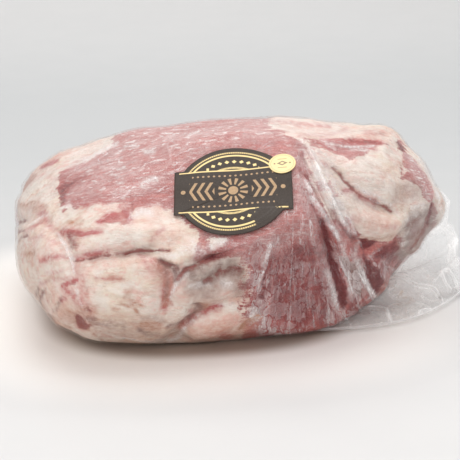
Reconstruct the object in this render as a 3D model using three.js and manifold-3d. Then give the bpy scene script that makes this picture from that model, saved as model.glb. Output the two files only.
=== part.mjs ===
// A raw flank steak in its vacuum bag: one thick folded slab of meat and fat, the clear film
// drawn tight round it, the bag's spare end lying out to the right, and a round paper badge
// with a small round sticker on the film. The pack lies on its flat underside.
//
// Units are millimetres. +Z is up, +X runs along the pack and -Y faces whoever looks at it.
// The origin is the middle of the flat underside, on the table.

import * as THREE from 'three';
import Module from 'manifold-3d';
import { mergeVertices } from 'three/addons/utils/BufferGeometryUtils.js';

// ---- driving sizes -----------------------------------------------------------------------

const HALF_LENGTH = 134;     // of the plain pack, before folds and pads
const HALF_DEPTH = 93;
const RISE = 58;             // from its widest level up to the crown
const DROP = 80;             // and down to where the underside would end if it were round
const SINK = 13.5;           // the round underside is pressed flat this far up
const PLAN_POWER = 3.5;      // 2 is an ellipse from above, more is squarer
const CROWN_POWER = 1.8;     // the same for the upper and the lower half seen from the side
const BELLY_POWER = 2.55;
const NARROWING = -0.25;     // the depth shrinks by this share towards the right end
const SWELL = 0.105;         // and the height grows by this
const LEAN = 0.264;          // higher levels sit further to the right
const SETBACK = -0.1;        // and further to the front
const BOW = 15;              // both ends bend back by this

const CROWN_CELLS = [44, 32];   // the grid on top: along and across
const WALL_ROWS = 20;           // rows of cells from its edge down to the table
const WALL_START = Math.PI / 4; // steepness of the first and of the last row
const WALL_END = -Math.atan(1.22);

const FLOOR_FADE = 9;        // folds run out over this height above the table
const UNEVENNESS = 0.55;     // the slab is never quite smooth: two low crossing waves
const WAVE_ALONG = [9, 23];  // how far a wave takes to turn by one radian, along and its sway
const WAVE_ROUND = [8, 7];   // across, and up the walls

const BADGE_MIDDLE = new THREE.Vector3(-8.8, -67.9, 102.4);
const BADGE_OUT = new THREE.Vector3(-0.198, -0.485, 0.852).normalize();
const BADGE_RUN = 4.9;       // degrees its banner rises to the right, as the shown side is seen
const SEAT_RADIUS = 34;      // the film lies nearly flat under the badge
const SEAT_FADE = 78;        // and is itself again this far from its middle
const SEAT_FLATNESS = 0.88;
const SEAT_DEPTH = [16, 34]; // what lies this far below the badge's plane stays as it is
const BADGE_GAP = 0.45;      // paper lies this far off the film's facets
const BADGE_THICKNESS = 0.4;
const BADGE_RADIUS = 33.9;
const BANNER_HALF_LENGTH = 35;
const BANNER_HALF_HEIGHT = 17.1;
const BADGE_RINGS = 5;
const BADGE_STEPS = 48;
const STICKER_RADIUS = 8.1;
const STICKER_PLACE = [29.7, 17];   // from the badge's middle: along and up
const STICKER_RINGS = 2;
const STICKER_STEPS = 20;

const TAIL_THICKNESS = 1.6;  // the two films of the spare end, with what is caught between
const TAIL_CELLS = [22, 13]; // along the pack's edge, and outwards
const TAIL_WAVE = 2.6;       // height of its waves at the far edge
const TAIL_RAGGED = 2.2;     // that edge isn't cut straight once it has crumpled
const TAIL_CALM = 0.12;      // share of its width, at the front, that lies flat on the table

const smooth = THREE.MathUtils.smoothstep;

// ---- two sheets to draw the folds on -----------------------------------------------------
// The folds are placed as seen by an eye one metre away, in millimetres right and up from
// the middle of the view: one sheet for the side that is shown, one for the far side.

const EYE_DISTANCE = 1000;
const VIEW_TURN = -8.7;
const VIEW_TILT = 20;
const VIEW_MIDDLE = new THREE.Vector3(0, 2.6, 52);

function sheet(turnDegrees, tiltDegrees) {
  const turn = THREE.MathUtils.degToRad(turnDegrees);
  const tilt = THREE.MathUtils.degToRad(tiltDegrees);
  const towards = new THREE.Vector3(
    Math.sin(turn) * Math.cos(tilt), -Math.cos(turn) * Math.cos(tilt), Math.sin(tilt));
  const right = new THREE.Vector3(Math.cos(turn), Math.sin(turn), 0);
  const up = new THREE.Vector3().crossVectors(towards, right);
  return { towards, right, up };
}

const SHOWN = sheet(VIEW_TURN, VIEW_TILT);
const FAR = sheet(VIEW_TURN + 180, VIEW_TILT);

function onSheet(point, side) {
  const offset = point.clone().sub(VIEW_MIDDLE);
  const nearer = 1 - offset.dot(side.towards) / EYE_DISTANCE;
  return [offset.dot(side.right) / nearer, offset.dot(side.up) / nearer];
}

// ---- folds: each is a route on its sheet, a width and a depth ----------------------------
// A groove has puffed lips; a ridge is a groove with a depth below zero.

const SHOWN_FOLDS = [
  { route: [[-102, -20], [-80, -16], [-60, -12], [-40, -13]], width: 5, depth: 5.5 },
  { route: [[-114, -2], [-106, -9], [-101, -20]], width: 4, depth: 3.5 },
  { route: [[-50, -14], [-43, -21], [-35, -27], [-26, -23], [-15, -19], [-3, -16], [8, -12]],
    width: 4.5, depth: 4.5 },
  { route: [[-41, -26], [-41, -40], [-40, -50]], width: 5, depth: 2.5 },
  { route: [[-16, -34], [-7, -29], [7, -25]], width: 4.5, depth: 3 },
  { route: [[-34, -66], [-28, -60], [-22, -56], [-15, -54], [-6, -51], [3, -47]],
    width: 4.5, depth: 5.5 },
  { route: [[-22, -56], [-23, -47]], width: 5, depth: 3 },
  { route: [[64, 42], [73, 34], [79, 26], [85, 21], [93, 17], [101, 13], [107, 11]],
    width: 5, depth: 5.5 },
  { route: [[77, 60], [97, 57]], width: 3, depth: 3 },
  { route: [[68, 54], [76, 55], [93, 53]], width: 3, depth: 3 },
  { route: [[82, -1], [85, -8], [97, -9], [110, -4], [119, 3]], width: 5.5, depth: 5.5 },
  { route: [[48, 45], [57, 10], [62, 0], [66, -13], [69, -26], [70, -39], [73, -53]],
    width: 4, depth: 3.2 },
  { route: [[51, 25], [59, 12], [65, 2], [72, -8], [80, -21]], width: 4, depth: -2.2 },
  { route: [[74, -21], [79, -36], [84, -48]], width: 3.5, depth: 2.6 },
  { route: [[87, -23], [90, -35], [95, -42]], width: 5, depth: 3.6 },
  { route: [[27, -4], [24, -20], [19, -42]], width: 3.5, depth: -1.8 },
  { route: [[-141, 5], [-132, 8], [-122, 9], [-115, 5]], width: 4.5, depth: 3.2 },
  { route: [[-99, -52], [-97, -62]], width: 5.5, depth: 4.5 },
  { route: [[134, 19], [131, 10], [129, 1]], width: 3.5, depth: 3 },
];

const FAR_FOLDS = [
  { route: [[-120, 20], [-92, 6], [-58, 2], [-30, 8]], width: 6, depth: 5 },
  { route: [[-96, -38], [-70, -30], [-44, -36], [-24, -50]], width: 5.5, depth: 4.5 },
  { route: [[-30, 8], [-14, -6], [-10, -26]], width: 5, depth: 3.5 },
  { route: [[8, 30], [34, 20], [62, 24], [84, 16]], width: 5.5, depth: 4.5 },
  { route: [[20, -20], [48, -12], [80, -18], [112, -8]], width: 5.5, depth: 5 },
  { route: [[36, -50], [60, -40], [86, -42]], width: 5, depth: 3.5 },
  { route: [[-60, 44], [-34, 38], [-12, 42]], width: 4, depth: 2.5 },
  { route: [[100, 26], [116, 16], [124, 2]], width: 4, depth: 3 },
];

// Pads: where the slab bulges, its half length and half height there, and how far.
const SHOWN_PADS = [
  { place: [-74, -45], reach: [40, 24], rise: 5 },       // the big fat mass, lower left
  { place: [-71, 3], reach: [38, 10], rise: 2.5 },       // the band above the long groove
  { place: [-122, -22], reach: [18, 28], rise: 1.5 },
  { place: [-10, -61], reach: [27, 9], rise: 4 },        // the pad at the front foot
  { place: [-19, -25], reach: [12, 6], rise: 1.6 },
  { place: [-9, -40], reach: [14, 7], rise: 1.6 },
  { place: [97, 2], reach: [19, 9], rise: 4.5 },         // the lump on the right
  { place: [88, 38], reach: [26, 14], rise: 2 },
  { place: [104, 62], reach: [17, 8], rise: 3.5 },       // the right shoulder
  { place: [137, 6], reach: [9, 18], rise: 6 },
  { place: [60, -62], reach: [40, 9], rise: 5 },         // the lower right
  { place: [112, -26], reach: [12, 12], rise: -6.5 },    // and the flat beside it
  { place: [68, 72], reach: [28, 9], rise: -3.5 },
  { place: [-34, -74], reach: [9, 8], rise: -4.5 },      // the notch in the front foot
  { place: [-128, -44], reach: [12, 18], rise: -2.5 },   // drawn in above the left foot
];

const FAR_PADS = [
  { place: [-74, -14], reach: [34, 13], rise: 4 },
  { place: [-84, 28], reach: [30, 12], rise: 2.5 },
  { place: [46, 4], reach: [32, 12], rise: 4 },
  { place: [-20, -56], reach: [30, 10], rise: 3 },
  { place: [66, -58], reach: [28, 10], rise: 3 },
  { place: [110, -34], reach: [16, 12], rise: 2.5 },
];

// How far a point of a sheet lies from a route, and how far along the route that is (0 to 1).
function distanceToRoute([x, y], route) {
  let nearest = Infinity;
  let along = 0;
  for (let i = 0; i + 1 < route.length; i++) {
    const [ax, ay] = route[i];
    const [bx, by] = route[i + 1];
    const length = (bx - ax) ** 2 + (by - ay) ** 2;
    const share = THREE.MathUtils.clamp(((x - ax) * (bx - ax) + (y - ay) * (by - ay)) / length, 0, 1);
    const gap = Math.hypot(x - ax - share * (bx - ax), y - ay - share * (by - ay));
    if (gap < nearest) {
      nearest = gap;
      along = (i + share) / (route.length - 1);
    }
  }
  return { nearest, along };
}

const LIP_PLACE = 2.1;   // a groove's lips stand this many widths from its middle
const LIP_SHARE = 0.28;  // and rise by this share of its depth
const RUN_OUT = 0.18;    // share of a route over which its ends run out
const END_DEPTH = 0.35;

function foldHeight(spot, fold) {
  const { nearest, along } = distanceToRoute(spot, fold.route);
  const middle = Math.exp(-((nearest / fold.width) ** 2));
  const lip = LIP_SHARE * Math.exp(-((nearest / fold.width - LIP_PLACE) ** 2));
  const end = smooth(along, 0, RUN_OUT) * (1 - smooth(along, 1 - RUN_OUT, 1));
  return fold.depth * (lip - middle) * (END_DEPTH + (1 - END_DEPTH) * end);
}

function padHeight([x, y], pad) {
  const dx = (x - pad.place[0]) / pad.reach[0];
  const dy = (y - pad.place[1]) / pad.reach[1];
  return pad.rise * Math.exp(-((dx * dx + dy * dy) ** 1.5));
}

const EDGE_ON = 0.02;    // surfaces turned away from a sheet take none of its relief
const FACE_ON = 0.3;

function reliefAt(point, normal) {
  let height = UNEVENNESS * (
    Math.sin(point.x / WAVE_ALONG[0] + 2 * Math.sin(point.y / WAVE_ALONG[1]))
    + Math.sin(point.y / WAVE_ROUND[0] + point.z / WAVE_ROUND[1]));
  for (const [side, folds, pads] of [[SHOWN, SHOWN_FOLDS, SHOWN_PADS], [FAR, FAR_FOLDS, FAR_PADS]]) {
    const facing = smooth(normal.dot(side.towards), EDGE_ON, FACE_ON);
    const outline = smooth(normal.dot(side.towards), -FACE_ON, EDGE_ON);
    const spot = onSheet(point, side);
    for (const fold of folds) height += facing * foldHeight(spot, fold);
    for (const pad of pads) height += outline * padHeight(spot, pad);
  }
  return height * smooth(point.z, 0, FLOOR_FADE);
}

// ---- the plain pack ----------------------------------------------------------------------
// (u, v) is a place on a square grid, +-1 at its edge. Its direction gives the plan
// direction; steepness is the tangent of the angle at which the wall is met from the middle.

function packPoint(u, v, steepness) {
  const spread = (Math.abs(u) ** PLAN_POWER + Math.abs(v) ** PLAN_POWER) ** (1 / PLAN_POWER) || 1;
  const power = steepness > 0 ? CROWN_POWER : BELLY_POWER;
  const scale = (1 + Math.abs(steepness) ** power) ** (-1 / power);
  const x = Number.isFinite(steepness) ? (scale * u) / spread : 0;
  const y = Number.isFinite(steepness) ? (scale * v) / spread : 0;
  const level = Number.isFinite(steepness) ? scale * steepness : 1;
  const height = level * (level > 0 ? RISE : DROP) * (1 + SWELL * x);
  return seated(new THREE.Vector3(
    x * HALF_LENGTH + LEAN * height,
    y * HALF_DEPTH * (1 + NARROWING * x) + SETBACK * height + BOW * x * x,
    Math.max(0, height + DROP - SINK)));
}

// The film round the badge is drawn towards the badge's plane.
function seated(point) {
  const offset = point.clone().sub(BADGE_MIDDLE);
  const above = offset.dot(BADGE_OUT);
  const away = offset.addScaledVector(BADGE_OUT, -above).length();
  const share = (1 - smooth(away, SEAT_RADIUS, SEAT_FADE)) * (1 - smooth(-above, ...SEAT_DEPTH));
  return point.addScaledVector(BADGE_OUT, -above * share * SEAT_FLATNESS);
}

// The grid on top, then rows of wall down to the table, all sharing their vertices.
function packGrid() {
  const [columns, lanes] = CROWN_CELLS;
  const points = [];
  const faces = [];
  const spacing = (k, cells) => Math.tan((2 * k / cells - 1) * Math.PI / 4);
  const crown = [];
  for (let i = 0; i <= columns; i++) {
    crown.push([]);
    for (let j = 0; j <= lanes; j++) {
      const [u, v] = [spacing(i, columns), spacing(j, lanes)];
      crown[i].push(points.length);
      points.push(packPoint(u, v, 1 / Math.max(Math.abs(u), Math.abs(v))));
    }
  }
  const quad = (a, b, c, d) => faces.push([a, b, c], [a, c, d]);
  for (let i = 0; i < columns; i++) {
    for (let j = 0; j < lanes; j++) {
      quad(crown[i][j], crown[i + 1][j], crown[i + 1][j + 1], crown[i][j + 1]);
    }
  }
  const edge = [];
  for (let i = 0; i < columns; i++) edge.push([i, 0]);
  for (let j = 0; j < lanes; j++) edge.push([columns, j]);
  for (let i = columns; i > 0; i--) edge.push([i, lanes]);
  for (let j = lanes; j > 0; j--) edge.push([0, j]);
  let above = edge.map(([i, j]) => crown[i][j]);
  for (let row = 1; row <= WALL_ROWS; row++) {
    const steepness = Math.tan(WALL_START + (WALL_END - WALL_START) * row / WALL_ROWS);
    const below = edge.map(([i, j]) => {
      points.push(packPoint(spacing(i, columns), spacing(j, lanes), steepness));
      return points.length - 1;
    });
    for (let k = 0; k < edge.length; k++) {
      const next = (k + 1) % edge.length;
      quad(above[k], below[k], below[next], above[next]);
    }
    above = below;
  }
  return { points, faces, foot: above };
}

function geometryOf(points, faces) {
  const geometry = new THREE.BufferGeometry();
  geometry.setAttribute('position', new THREE.Float32BufferAttribute(points.flatMap((p) => [p.x, p.y, p.z]), 3));
  geometry.setIndex(faces.flat());
  return geometry;
}

function packSolid() {
  const { points, faces, foot } = packGrid();
  const plain = geometryOf(points, faces);
  plain.computeVertexNormals();
  const normal = new THREE.Vector3();
  const shaped = points.map((point, k) => {
    normal.fromBufferAttribute(plain.attributes.normal, k);
    const moved = point.clone().addScaledVector(normal, reliefAt(point, normal));
    moved.z = Math.max(0, moved.z);
    return moved;
  });
  const middle = shaped.length;
  shaped.push(new THREE.Vector3(0, 0, 0));
  foot.forEach((k, place) => faces.push([k, middle, foot[(place + 1) % foot.length]]));
  return geometryOf(shaped, faces);
}

// ---- the bag's spare end -----------------------------------------------------------------
// A wavy double film between two routes: one inside the pack, one out at its sealed edge.

const TAIL_INNER = [[40, -56, 4], [95, 66, 30]];
const TAIL_OUTER = [[158, -2, 3.2], [168, 92, 44]];
const TAIL_BULGE = 20;       // the front edge bows out along the pack's foot
const TAIL_BULGE_WAY = [0.35, -0.94];
const TAIL_LOWEST = 1.2;

function tailMiddle(s, t) {
  const at = (k) => THREE.MathUtils.lerp(
    THREE.MathUtils.lerp(TAIL_INNER[0][k], TAIL_INNER[1][k], s),
    THREE.MathUtils.lerp(TAIL_OUTER[0][k], TAIL_OUTER[1][k], s), t);
  const bulge = TAIL_BULGE * Math.sin(Math.PI * t) * (1 - s) ** 1.5;
  const wave = TAIL_WAVE * (Math.sin(21 * s + 3 * t) + 0.6 * Math.sin(34 * s - 7 * t + 1));
  const growing = (0.3 + 0.7 * t) * smooth(s, 0, TAIL_CALM);
  return new THREE.Vector3(
    at(0) + bulge * TAIL_BULGE_WAY[0] + TAIL_RAGGED * t * Math.sin(17 * s),
    at(1) + bulge * TAIL_BULGE_WAY[1],
    Math.max(TAIL_LOWEST, at(2) + wave * growing));
}

function tailSolid() {
  const [across, out] = TAIL_CELLS;
  const points = [];
  const faces = [];
  const index = (side, i, j) => (side * (across + 1) + i) * (out + 1) + j;
  for (const side of [0, 1]) {
    for (let i = 0; i <= across; i++) {
      for (let j = 0; j <= out; j++) {
        const point = tailMiddle(i / across, j / out);
        point.z += (side - 0.5) * TAIL_THICKNESS;
        points.push(point);
      }
    }
  }
  const quad = (a, b, c, d) => faces.push([a, b, c], [a, c, d]);
  for (let i = 0; i < across; i++) {
    for (let j = 0; j < out; j++) {
      quad(index(1, i, j), index(1, i, j + 1), index(1, i + 1, j + 1), index(1, i + 1, j));
      faces.push([index(0, i, j), index(0, i + 1, j + 1), index(0, i, j + 1)]);
      faces.push([index(0, i, j), index(0, i + 1, j), index(0, i + 1, j + 1)]);
    }
    quad(index(0, i, 0), index(1, i, 0), index(1, i + 1, 0), index(0, i + 1, 0));
    quad(index(0, i + 1, out), index(1, i + 1, out), index(1, i, out), index(0, i, out));
  }
  for (let j = 0; j < out; j++) {
    quad(index(0, 0, j + 1), index(1, 0, j + 1), index(1, 0, j), index(0, 0, j));
    quad(index(0, across, j), index(1, across, j), index(1, across, j + 1), index(0, across, j + 1));
  }
  return geometryOf(points, faces);
}

// ---- joining -----------------------------------------------------------------------------

const wasm = await Module();
wasm.setup();

function manifoldOf(geometry) {
  const merged = mergeVertices(geometry);
  return new wasm.Manifold(new wasm.Mesh({
    numProp: 3,
    vertProperties: new Float32Array(merged.attributes.position.array),
    triVerts: new Uint32Array(merged.index.array),
  }));
}

function geometryOfManifold(solid) {
  const { vertProperties, triVerts } = solid.getMesh();
  const geometry = new THREE.BufferGeometry();
  geometry.setAttribute('position', new THREE.BufferAttribute(vertProperties, 3));
  geometry.setIndex(new THREE.BufferAttribute(triVerts, 1));
  return geometry;
}

// ---- paper on the film -------------------------------------------------------------------
// The two directions in the badge's plane: along its banner, and up.

function badgeFrame() {
  const run = THREE.MathUtils.degToRad(BADGE_RUN);
  const along = SHOWN.right.clone().multiplyScalar(Math.cos(run))
    .addScaledVector(SHOWN.up, Math.sin(run));
  along.addScaledVector(SHOWN.towards, -along.dot(BADGE_OUT) / SHOWN.towards.dot(BADGE_OUT)).normalize();
  return { along, up: new THREE.Vector3().crossVectors(BADGE_OUT, along) };
}

// The badge's outline is a disc with a banner across it: the further of the two in every
// direction from its middle.
function badgeReach(angle) {
  const banner = Math.min(
    BANNER_HALF_LENGTH / Math.abs(Math.cos(angle) || 1e-9),
    BANNER_HALF_HEIGHT / Math.abs(Math.sin(angle) || 1e-9));
  return Math.max(BADGE_RADIUS, banner);
}

// The directions of the outline's points: even steps, moved onto the banner's four corners.
function badgeAngles() {
  const corner = Math.atan2(BANNER_HALF_HEIGHT, BANNER_HALF_LENGTH);
  const corners = [corner, Math.PI - corner, Math.PI + corner, 2 * Math.PI - corner];
  const step = 2 * Math.PI / BADGE_STEPS;
  return Array.from({ length: BADGE_STEPS }, (_, k) => {
    const near = corners.find((c) => Math.abs(c - k * step) <= step / 2);
    return near ?? k * step;
  });
}

const DROP_HEIGHT = 60;      // points are dropped onto the film from here

// A thin skin on the film: rings of points dropped onto the pack along the badge's outward
// direction, once for its lower and once for its upper face.
function skin(pack, place, angles, reach, rings, gap) {
  const { along, up } = badgeFrame();
  const ray = new THREE.Raycaster();
  const inward = BADGE_OUT.clone().negate();
  const drop = (x, y) => {
    const start = BADGE_MIDDLE.clone().addScaledVector(along, x).addScaledVector(up, y);
    ray.set(start.addScaledVector(BADGE_OUT, DROP_HEIGHT), inward);
    return ray.intersectObject(pack)[0].point;
  };
  const low = [drop(...place)];
  for (let ring = 1; ring <= rings; ring++) {
    for (const angle of angles) {
      const far = reach(angle) * ring / rings;
      low.push(drop(place[0] + far * Math.cos(angle), place[1] + far * Math.sin(angle)));
    }
  }
  const points = [gap, gap + BADGE_THICKNESS]
    .flatMap((height) => low.map((p) => p.clone().addScaledVector(BADGE_OUT, height)));
  const faces = [];
  const count = angles.length;
  const index = (face, ring, k) => face * low.length + (ring === 0 ? 0 : 1 + (ring - 1) * count + k % count);
  for (let k = 0; k < count; k++) {
    for (let ring = 0; ring < rings; ring++) {
      for (const face of [0, 1]) {
        const [a, b] = [index(face, ring, k), index(face, ring, k + 1)];
        const [c, d] = [index(face, ring + 1, k + 1), index(face, ring + 1, k)];
        const both = ring === 0 ? [[a, d, c]] : [[a, d, c], [a, c, b]];
        for (const [p, q, r] of both) faces.push(face === 1 ? [p, q, r] : [p, r, q]);
      }
    }
    const [a, b] = [index(0, rings, k), index(0, rings, k + 1)];
    const [c, d] = [index(1, rings, k + 1), index(1, rings, k)];
    faces.push([a, b, c], [a, c, d]);
  }
  return geometryOf(points, faces);
}

// ---- the object --------------------------------------------------------------------------

const FILM = new THREE.MeshStandardMaterial({ color: 0xc39a92, roughness: 0.32, metalness: 0 });
const PRINTED_PAPER = new THREE.MeshStandardMaterial({ color: 0x4a3d36, roughness: 0.55, metalness: 0 });
const CREAM_PAPER = new THREE.MeshStandardMaterial({ color: 0xf4dfa8, roughness: 0.6, metalness: 0 });

function named(name, geometry, material) {
  const mesh = new THREE.Mesh(geometry, material);
  mesh.name = name;
  return mesh;
}

const pack = packSolid();
const bag = manifoldOf(pack).add(manifoldOf(tailSolid()));
const backing = new THREE.Mesh(pack, FILM);

const stickerAngles = Array.from({ length: STICKER_STEPS }, (_, k) => 2 * Math.PI * k / STICKER_STEPS);

const steakPack = new THREE.Group();
steakPack.add(named('sealed_bag', geometryOfManifold(bag), FILM));
steakPack.add(named('badge_label',
  skin(backing, [0, 0], badgeAngles(), badgeReach, BADGE_RINGS, BADGE_GAP), PRINTED_PAPER));
steakPack.add(named('round_sticker',
  skin(backing, STICKER_PLACE, stickerAngles, () => STICKER_RADIUS, STICKER_RINGS,
    BADGE_GAP + BADGE_THICKNESS + BADGE_GAP), CREAM_PAPER));

export default steakPack;
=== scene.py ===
# %% [markdown]
# # A raw flank steak in its vacuum bag
# The real thing is a thick folded slab of beef, half lean and half fat, with clear film drawn
# tight round it by a pump. The pump leaves three things to model: the meat, the film on it with
# its pleats and frost, and the spare end of the bag. A round paper badge and a small sticker
# lie on the film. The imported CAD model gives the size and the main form. This script makes the
# same form again with far more points, because colour and small relief need them.

# %% Start
import math
from itertools import product

import bpy
import numpy as np
from mathutils import Matrix, Vector
from mathutils.bvhtree import BVHTree


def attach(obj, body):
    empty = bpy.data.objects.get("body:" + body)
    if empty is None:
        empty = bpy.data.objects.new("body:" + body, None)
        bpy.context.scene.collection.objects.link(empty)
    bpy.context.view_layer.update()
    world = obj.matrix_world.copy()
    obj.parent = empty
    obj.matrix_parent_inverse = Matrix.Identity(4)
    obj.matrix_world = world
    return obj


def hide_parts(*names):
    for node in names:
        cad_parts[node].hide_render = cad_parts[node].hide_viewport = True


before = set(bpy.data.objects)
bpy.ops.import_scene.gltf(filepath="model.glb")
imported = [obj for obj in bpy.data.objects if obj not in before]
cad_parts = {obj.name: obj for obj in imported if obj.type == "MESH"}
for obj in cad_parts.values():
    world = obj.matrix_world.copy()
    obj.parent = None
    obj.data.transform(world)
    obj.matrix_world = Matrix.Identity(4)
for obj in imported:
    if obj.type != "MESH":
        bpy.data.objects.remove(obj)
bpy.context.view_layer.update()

# %% [markdown]
# ## The eye
# A form is easier to shape when it is looked at from where the picture was taken. The camera
# stands one metre away, turned a little to the left and tilted down. Its two directions, right
# and up, also make a drawing sheet: each place on the sheet is so many millimetres right and up
# from the middle of the view, and every fold, patch of fat and pleat is drawn there.

# %% Camera and drawing sheets
EYE_DISTANCE = 1000.0
VIEW_TURN = -8.7
VIEW_TILT = 20.0
VIEW_MIDDLE = np.array([0.0, 2.6, 52.0])
PIXEL = 0.645            # millimetres on the sheet for one pixel of the picture
PICTURE_MIDDLE = 230
SENSOR_WIDTH = 36.0


def sheet(turn, tilt):
    """The ways towards the eye, right and up, for an eye turned and tilted by so many degrees."""
    turn, tilt = math.radians(turn), math.radians(tilt)
    towards = np.array([math.sin(turn) * math.cos(tilt), -math.cos(turn) * math.cos(tilt), math.sin(tilt)])
    right = np.array([math.cos(turn), math.sin(turn), 0.0])
    return towards, right, np.cross(towards, right)


def on_sheet(points, side):
    """Where points fall on a side's sheet, right and up from the middle of the view."""
    towards, right, up = side
    offset = points - VIEW_MIDDLE
    nearer = 1 - offset @ towards / EYE_DISTANCE
    return np.stack([offset @ right, offset @ up], -1) / nearer[:, None]


def seen(route):
    """Turns places in the picture, in pixels, into places on the sheet."""
    return [((x - PICTURE_MIDDLE) * PIXEL, (PICTURE_MIDDLE - y) * PIXEL) for x, y in route]


SHOWN = sheet(VIEW_TURN, VIEW_TILT)
FAR = sheet(VIEW_TURN + 180, VIEW_TILT)

camera = bpy.data.objects.new("camera", bpy.data.cameras.new("camera"))
bpy.context.scene.collection.objects.link(camera)
camera.matrix_world = Matrix.Translation((VIEW_MIDDLE + SHOWN[0] * EYE_DISTANCE) / 1000) @ Matrix(
    (SHOWN[1], SHOWN[2], SHOWN[0])).transposed().to_4x4()
camera.data.sensor_width = SENSOR_WIDTH
camera.data.lens = EYE_DISTANCE / PIXEL * SENSOR_WIDTH / (2 * PICTURE_MIDDLE)
camera.data.clip_start = 0.05
bpy.context.scene.camera = camera
print("lens", round(camera.data.lens, 1), "mm")

# %% [markdown]
# ## Noise and steps
# Flesh is never regular. Smooth noise is made here from a small table of seeded random numbers
# and blended between its cells. It could come from a texture node too, but a shape needs its
# noise as numbers, and the same table gives the same meat on every run.

# %% Noise and smooth steps
TABLE_SIDE = 32


def smooth(value, low, high):
    """A smooth step: 0 below low, 1 above high."""
    share = np.clip((value - low) / (high - low), 0, 1)
    return share * share * (3 - 2 * share)


def cloud(points, size, seed):
    """Smooth noise from 0 to 1. The size of its blobs is in millimetres, one or three numbers."""
    table = np.random.default_rng(seed).random((TABLE_SIDE,) * 3)
    place = points / np.array(size, float)
    cell = np.floor(place).astype(int)
    share = place - cell
    share = share * share * (3 - 2 * share)
    total = 0
    for corner in product((0, 1), repeat=3):
        weight = np.prod(np.where(corner, share, 1 - share), axis=1)
        i, j, k = ((cell + corner) % TABLE_SIDE).T
        total = total + weight * table[i, j, k]
    return total


def folded_cloud(points, size, seed):
    """Noise with sharp crests, as in crumpled film: 1 on a crest, 0 far from it."""
    return 1 - np.abs(2 * cloud(points, size, seed) - 1) ** 0.7


# %% [markdown]
# ## Folds and pads
# The slab is folded on itself, so it has deep grooves, ridges and swollen lumps. They could be
# sculpted by hand, but then they couldn't be measured or changed. Here each groove is a route on
# the sheet with a width and a depth, and each lump a place with a reach and a rise. They are the
# same routes and sizes that the CAD model has, so both have the same form.

# %% The grooves and ridges of both sides
SHOWN_FOLDS = [   # route, width and depth, in millimetres; a ridge has a depth below zero
    ([(-102, -20), (-80, -16), (-60, -12), (-40, -13)], 5, 5.5),
    ([(-114, -2), (-106, -9), (-101, -20)], 4, 3.5),
    ([(-50, -14), (-43, -21), (-35, -27), (-26, -23), (-15, -19), (-3, -16), (8, -12)], 4.5, 4.5),
    ([(-41, -26), (-41, -40), (-40, -50)], 5, 2.5),
    ([(-16, -34), (-7, -29), (7, -25)], 4.5, 3),
    ([(-34, -66), (-28, -60), (-22, -56), (-15, -54), (-6, -51), (3, -47)], 4.5, 5.5),
    ([(-22, -56), (-23, -47)], 5, 3),
    ([(64, 42), (73, 34), (79, 26), (85, 21), (93, 17), (101, 13), (107, 11)], 5, 5.5),
    ([(77, 60), (97, 57)], 3, 3),
    ([(68, 54), (76, 55), (93, 53)], 3, 3),
    ([(82, -1), (85, -8), (97, -9), (110, -4), (119, 3)], 5.5, 5.5),
    ([(48, 45), (57, 10), (62, 0), (66, -13), (69, -26), (70, -39), (73, -53)], 4, 3.2),
    ([(51, 25), (59, 12), (65, 2), (72, -8), (80, -21)], 4, -2.2),
    ([(74, -21), (79, -36), (84, -48)], 3.5, 2.6),
    ([(87, -23), (90, -35), (95, -42)], 5, 3.6),
    ([(27, -4), (24, -20), (19, -42)], 3.5, -1.8),
    ([(-141, 5), (-132, 8), (-122, 9), (-115, 5)], 4.5, 3.2),
    ([(-99, -52), (-97, -62)], 5.5, 4.5),
    ([(134, 19), (131, 10), (129, 1)], 3.5, 3),
]
FAR_FOLDS = [
    ([(-120, 20), (-92, 6), (-58, 2), (-30, 8)], 6, 5),
    ([(-96, -38), (-70, -30), (-44, -36), (-24, -50)], 5.5, 4.5),
    ([(-30, 8), (-14, -6), (-10, -26)], 5, 3.5),
    ([(8, 30), (34, 20), (62, 24), (84, 16)], 5.5, 4.5),
    ([(20, -20), (48, -12), (80, -18), (112, -8)], 5.5, 5),
    ([(36, -50), (60, -40), (86, -42)], 5, 3.5),
    ([(-60, 44), (-34, 38), (-12, 42)], 4, 2.5),
    ([(100, 26), (116, 16), (124, 2)], 4, 3),
]
LIP_PLACE, LIP_SHARE = 2.1, 0.28
RUN_OUT, END_DEPTH = 0.18, 0.35


def route_distance(spots, route):
    """How far each spot lies from a route, and how far along it that is, from 0 to 1."""
    nearest, along = np.full(len(spots), np.inf), np.zeros(len(spots))
    for i, (start, end) in enumerate(zip(route, route[1:])):
        step = np.subtract(end, start)
        share = np.clip((spots - start) @ step / (step @ step), 0, 1)
        gap = np.linalg.norm(spots - start - share[:, None] * step, axis=1)
        closer = gap < nearest
        nearest[closer] = gap[closer]
        along[closer] = ((i + share) / (len(route) - 1))[closer]
    return nearest, along


def fold_height(spots, fold):
    """A groove with a low lip on each side, shallower towards its ends."""
    route, width, depth = fold
    nearest, along = route_distance(spots, route)
    lip = LIP_SHARE * np.exp(-(nearest / width - LIP_PLACE) ** 2)
    end = smooth(along, 0, RUN_OUT) * (1 - smooth(along, 1 - RUN_OUT, 1))
    return depth * (lip - np.exp(-(nearest / width) ** 2)) * (END_DEPTH + (1 - END_DEPTH) * end)


print(len(SHOWN_FOLDS), "folds on the shown side,", len(FAR_FOLDS), "on the far side")

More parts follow.
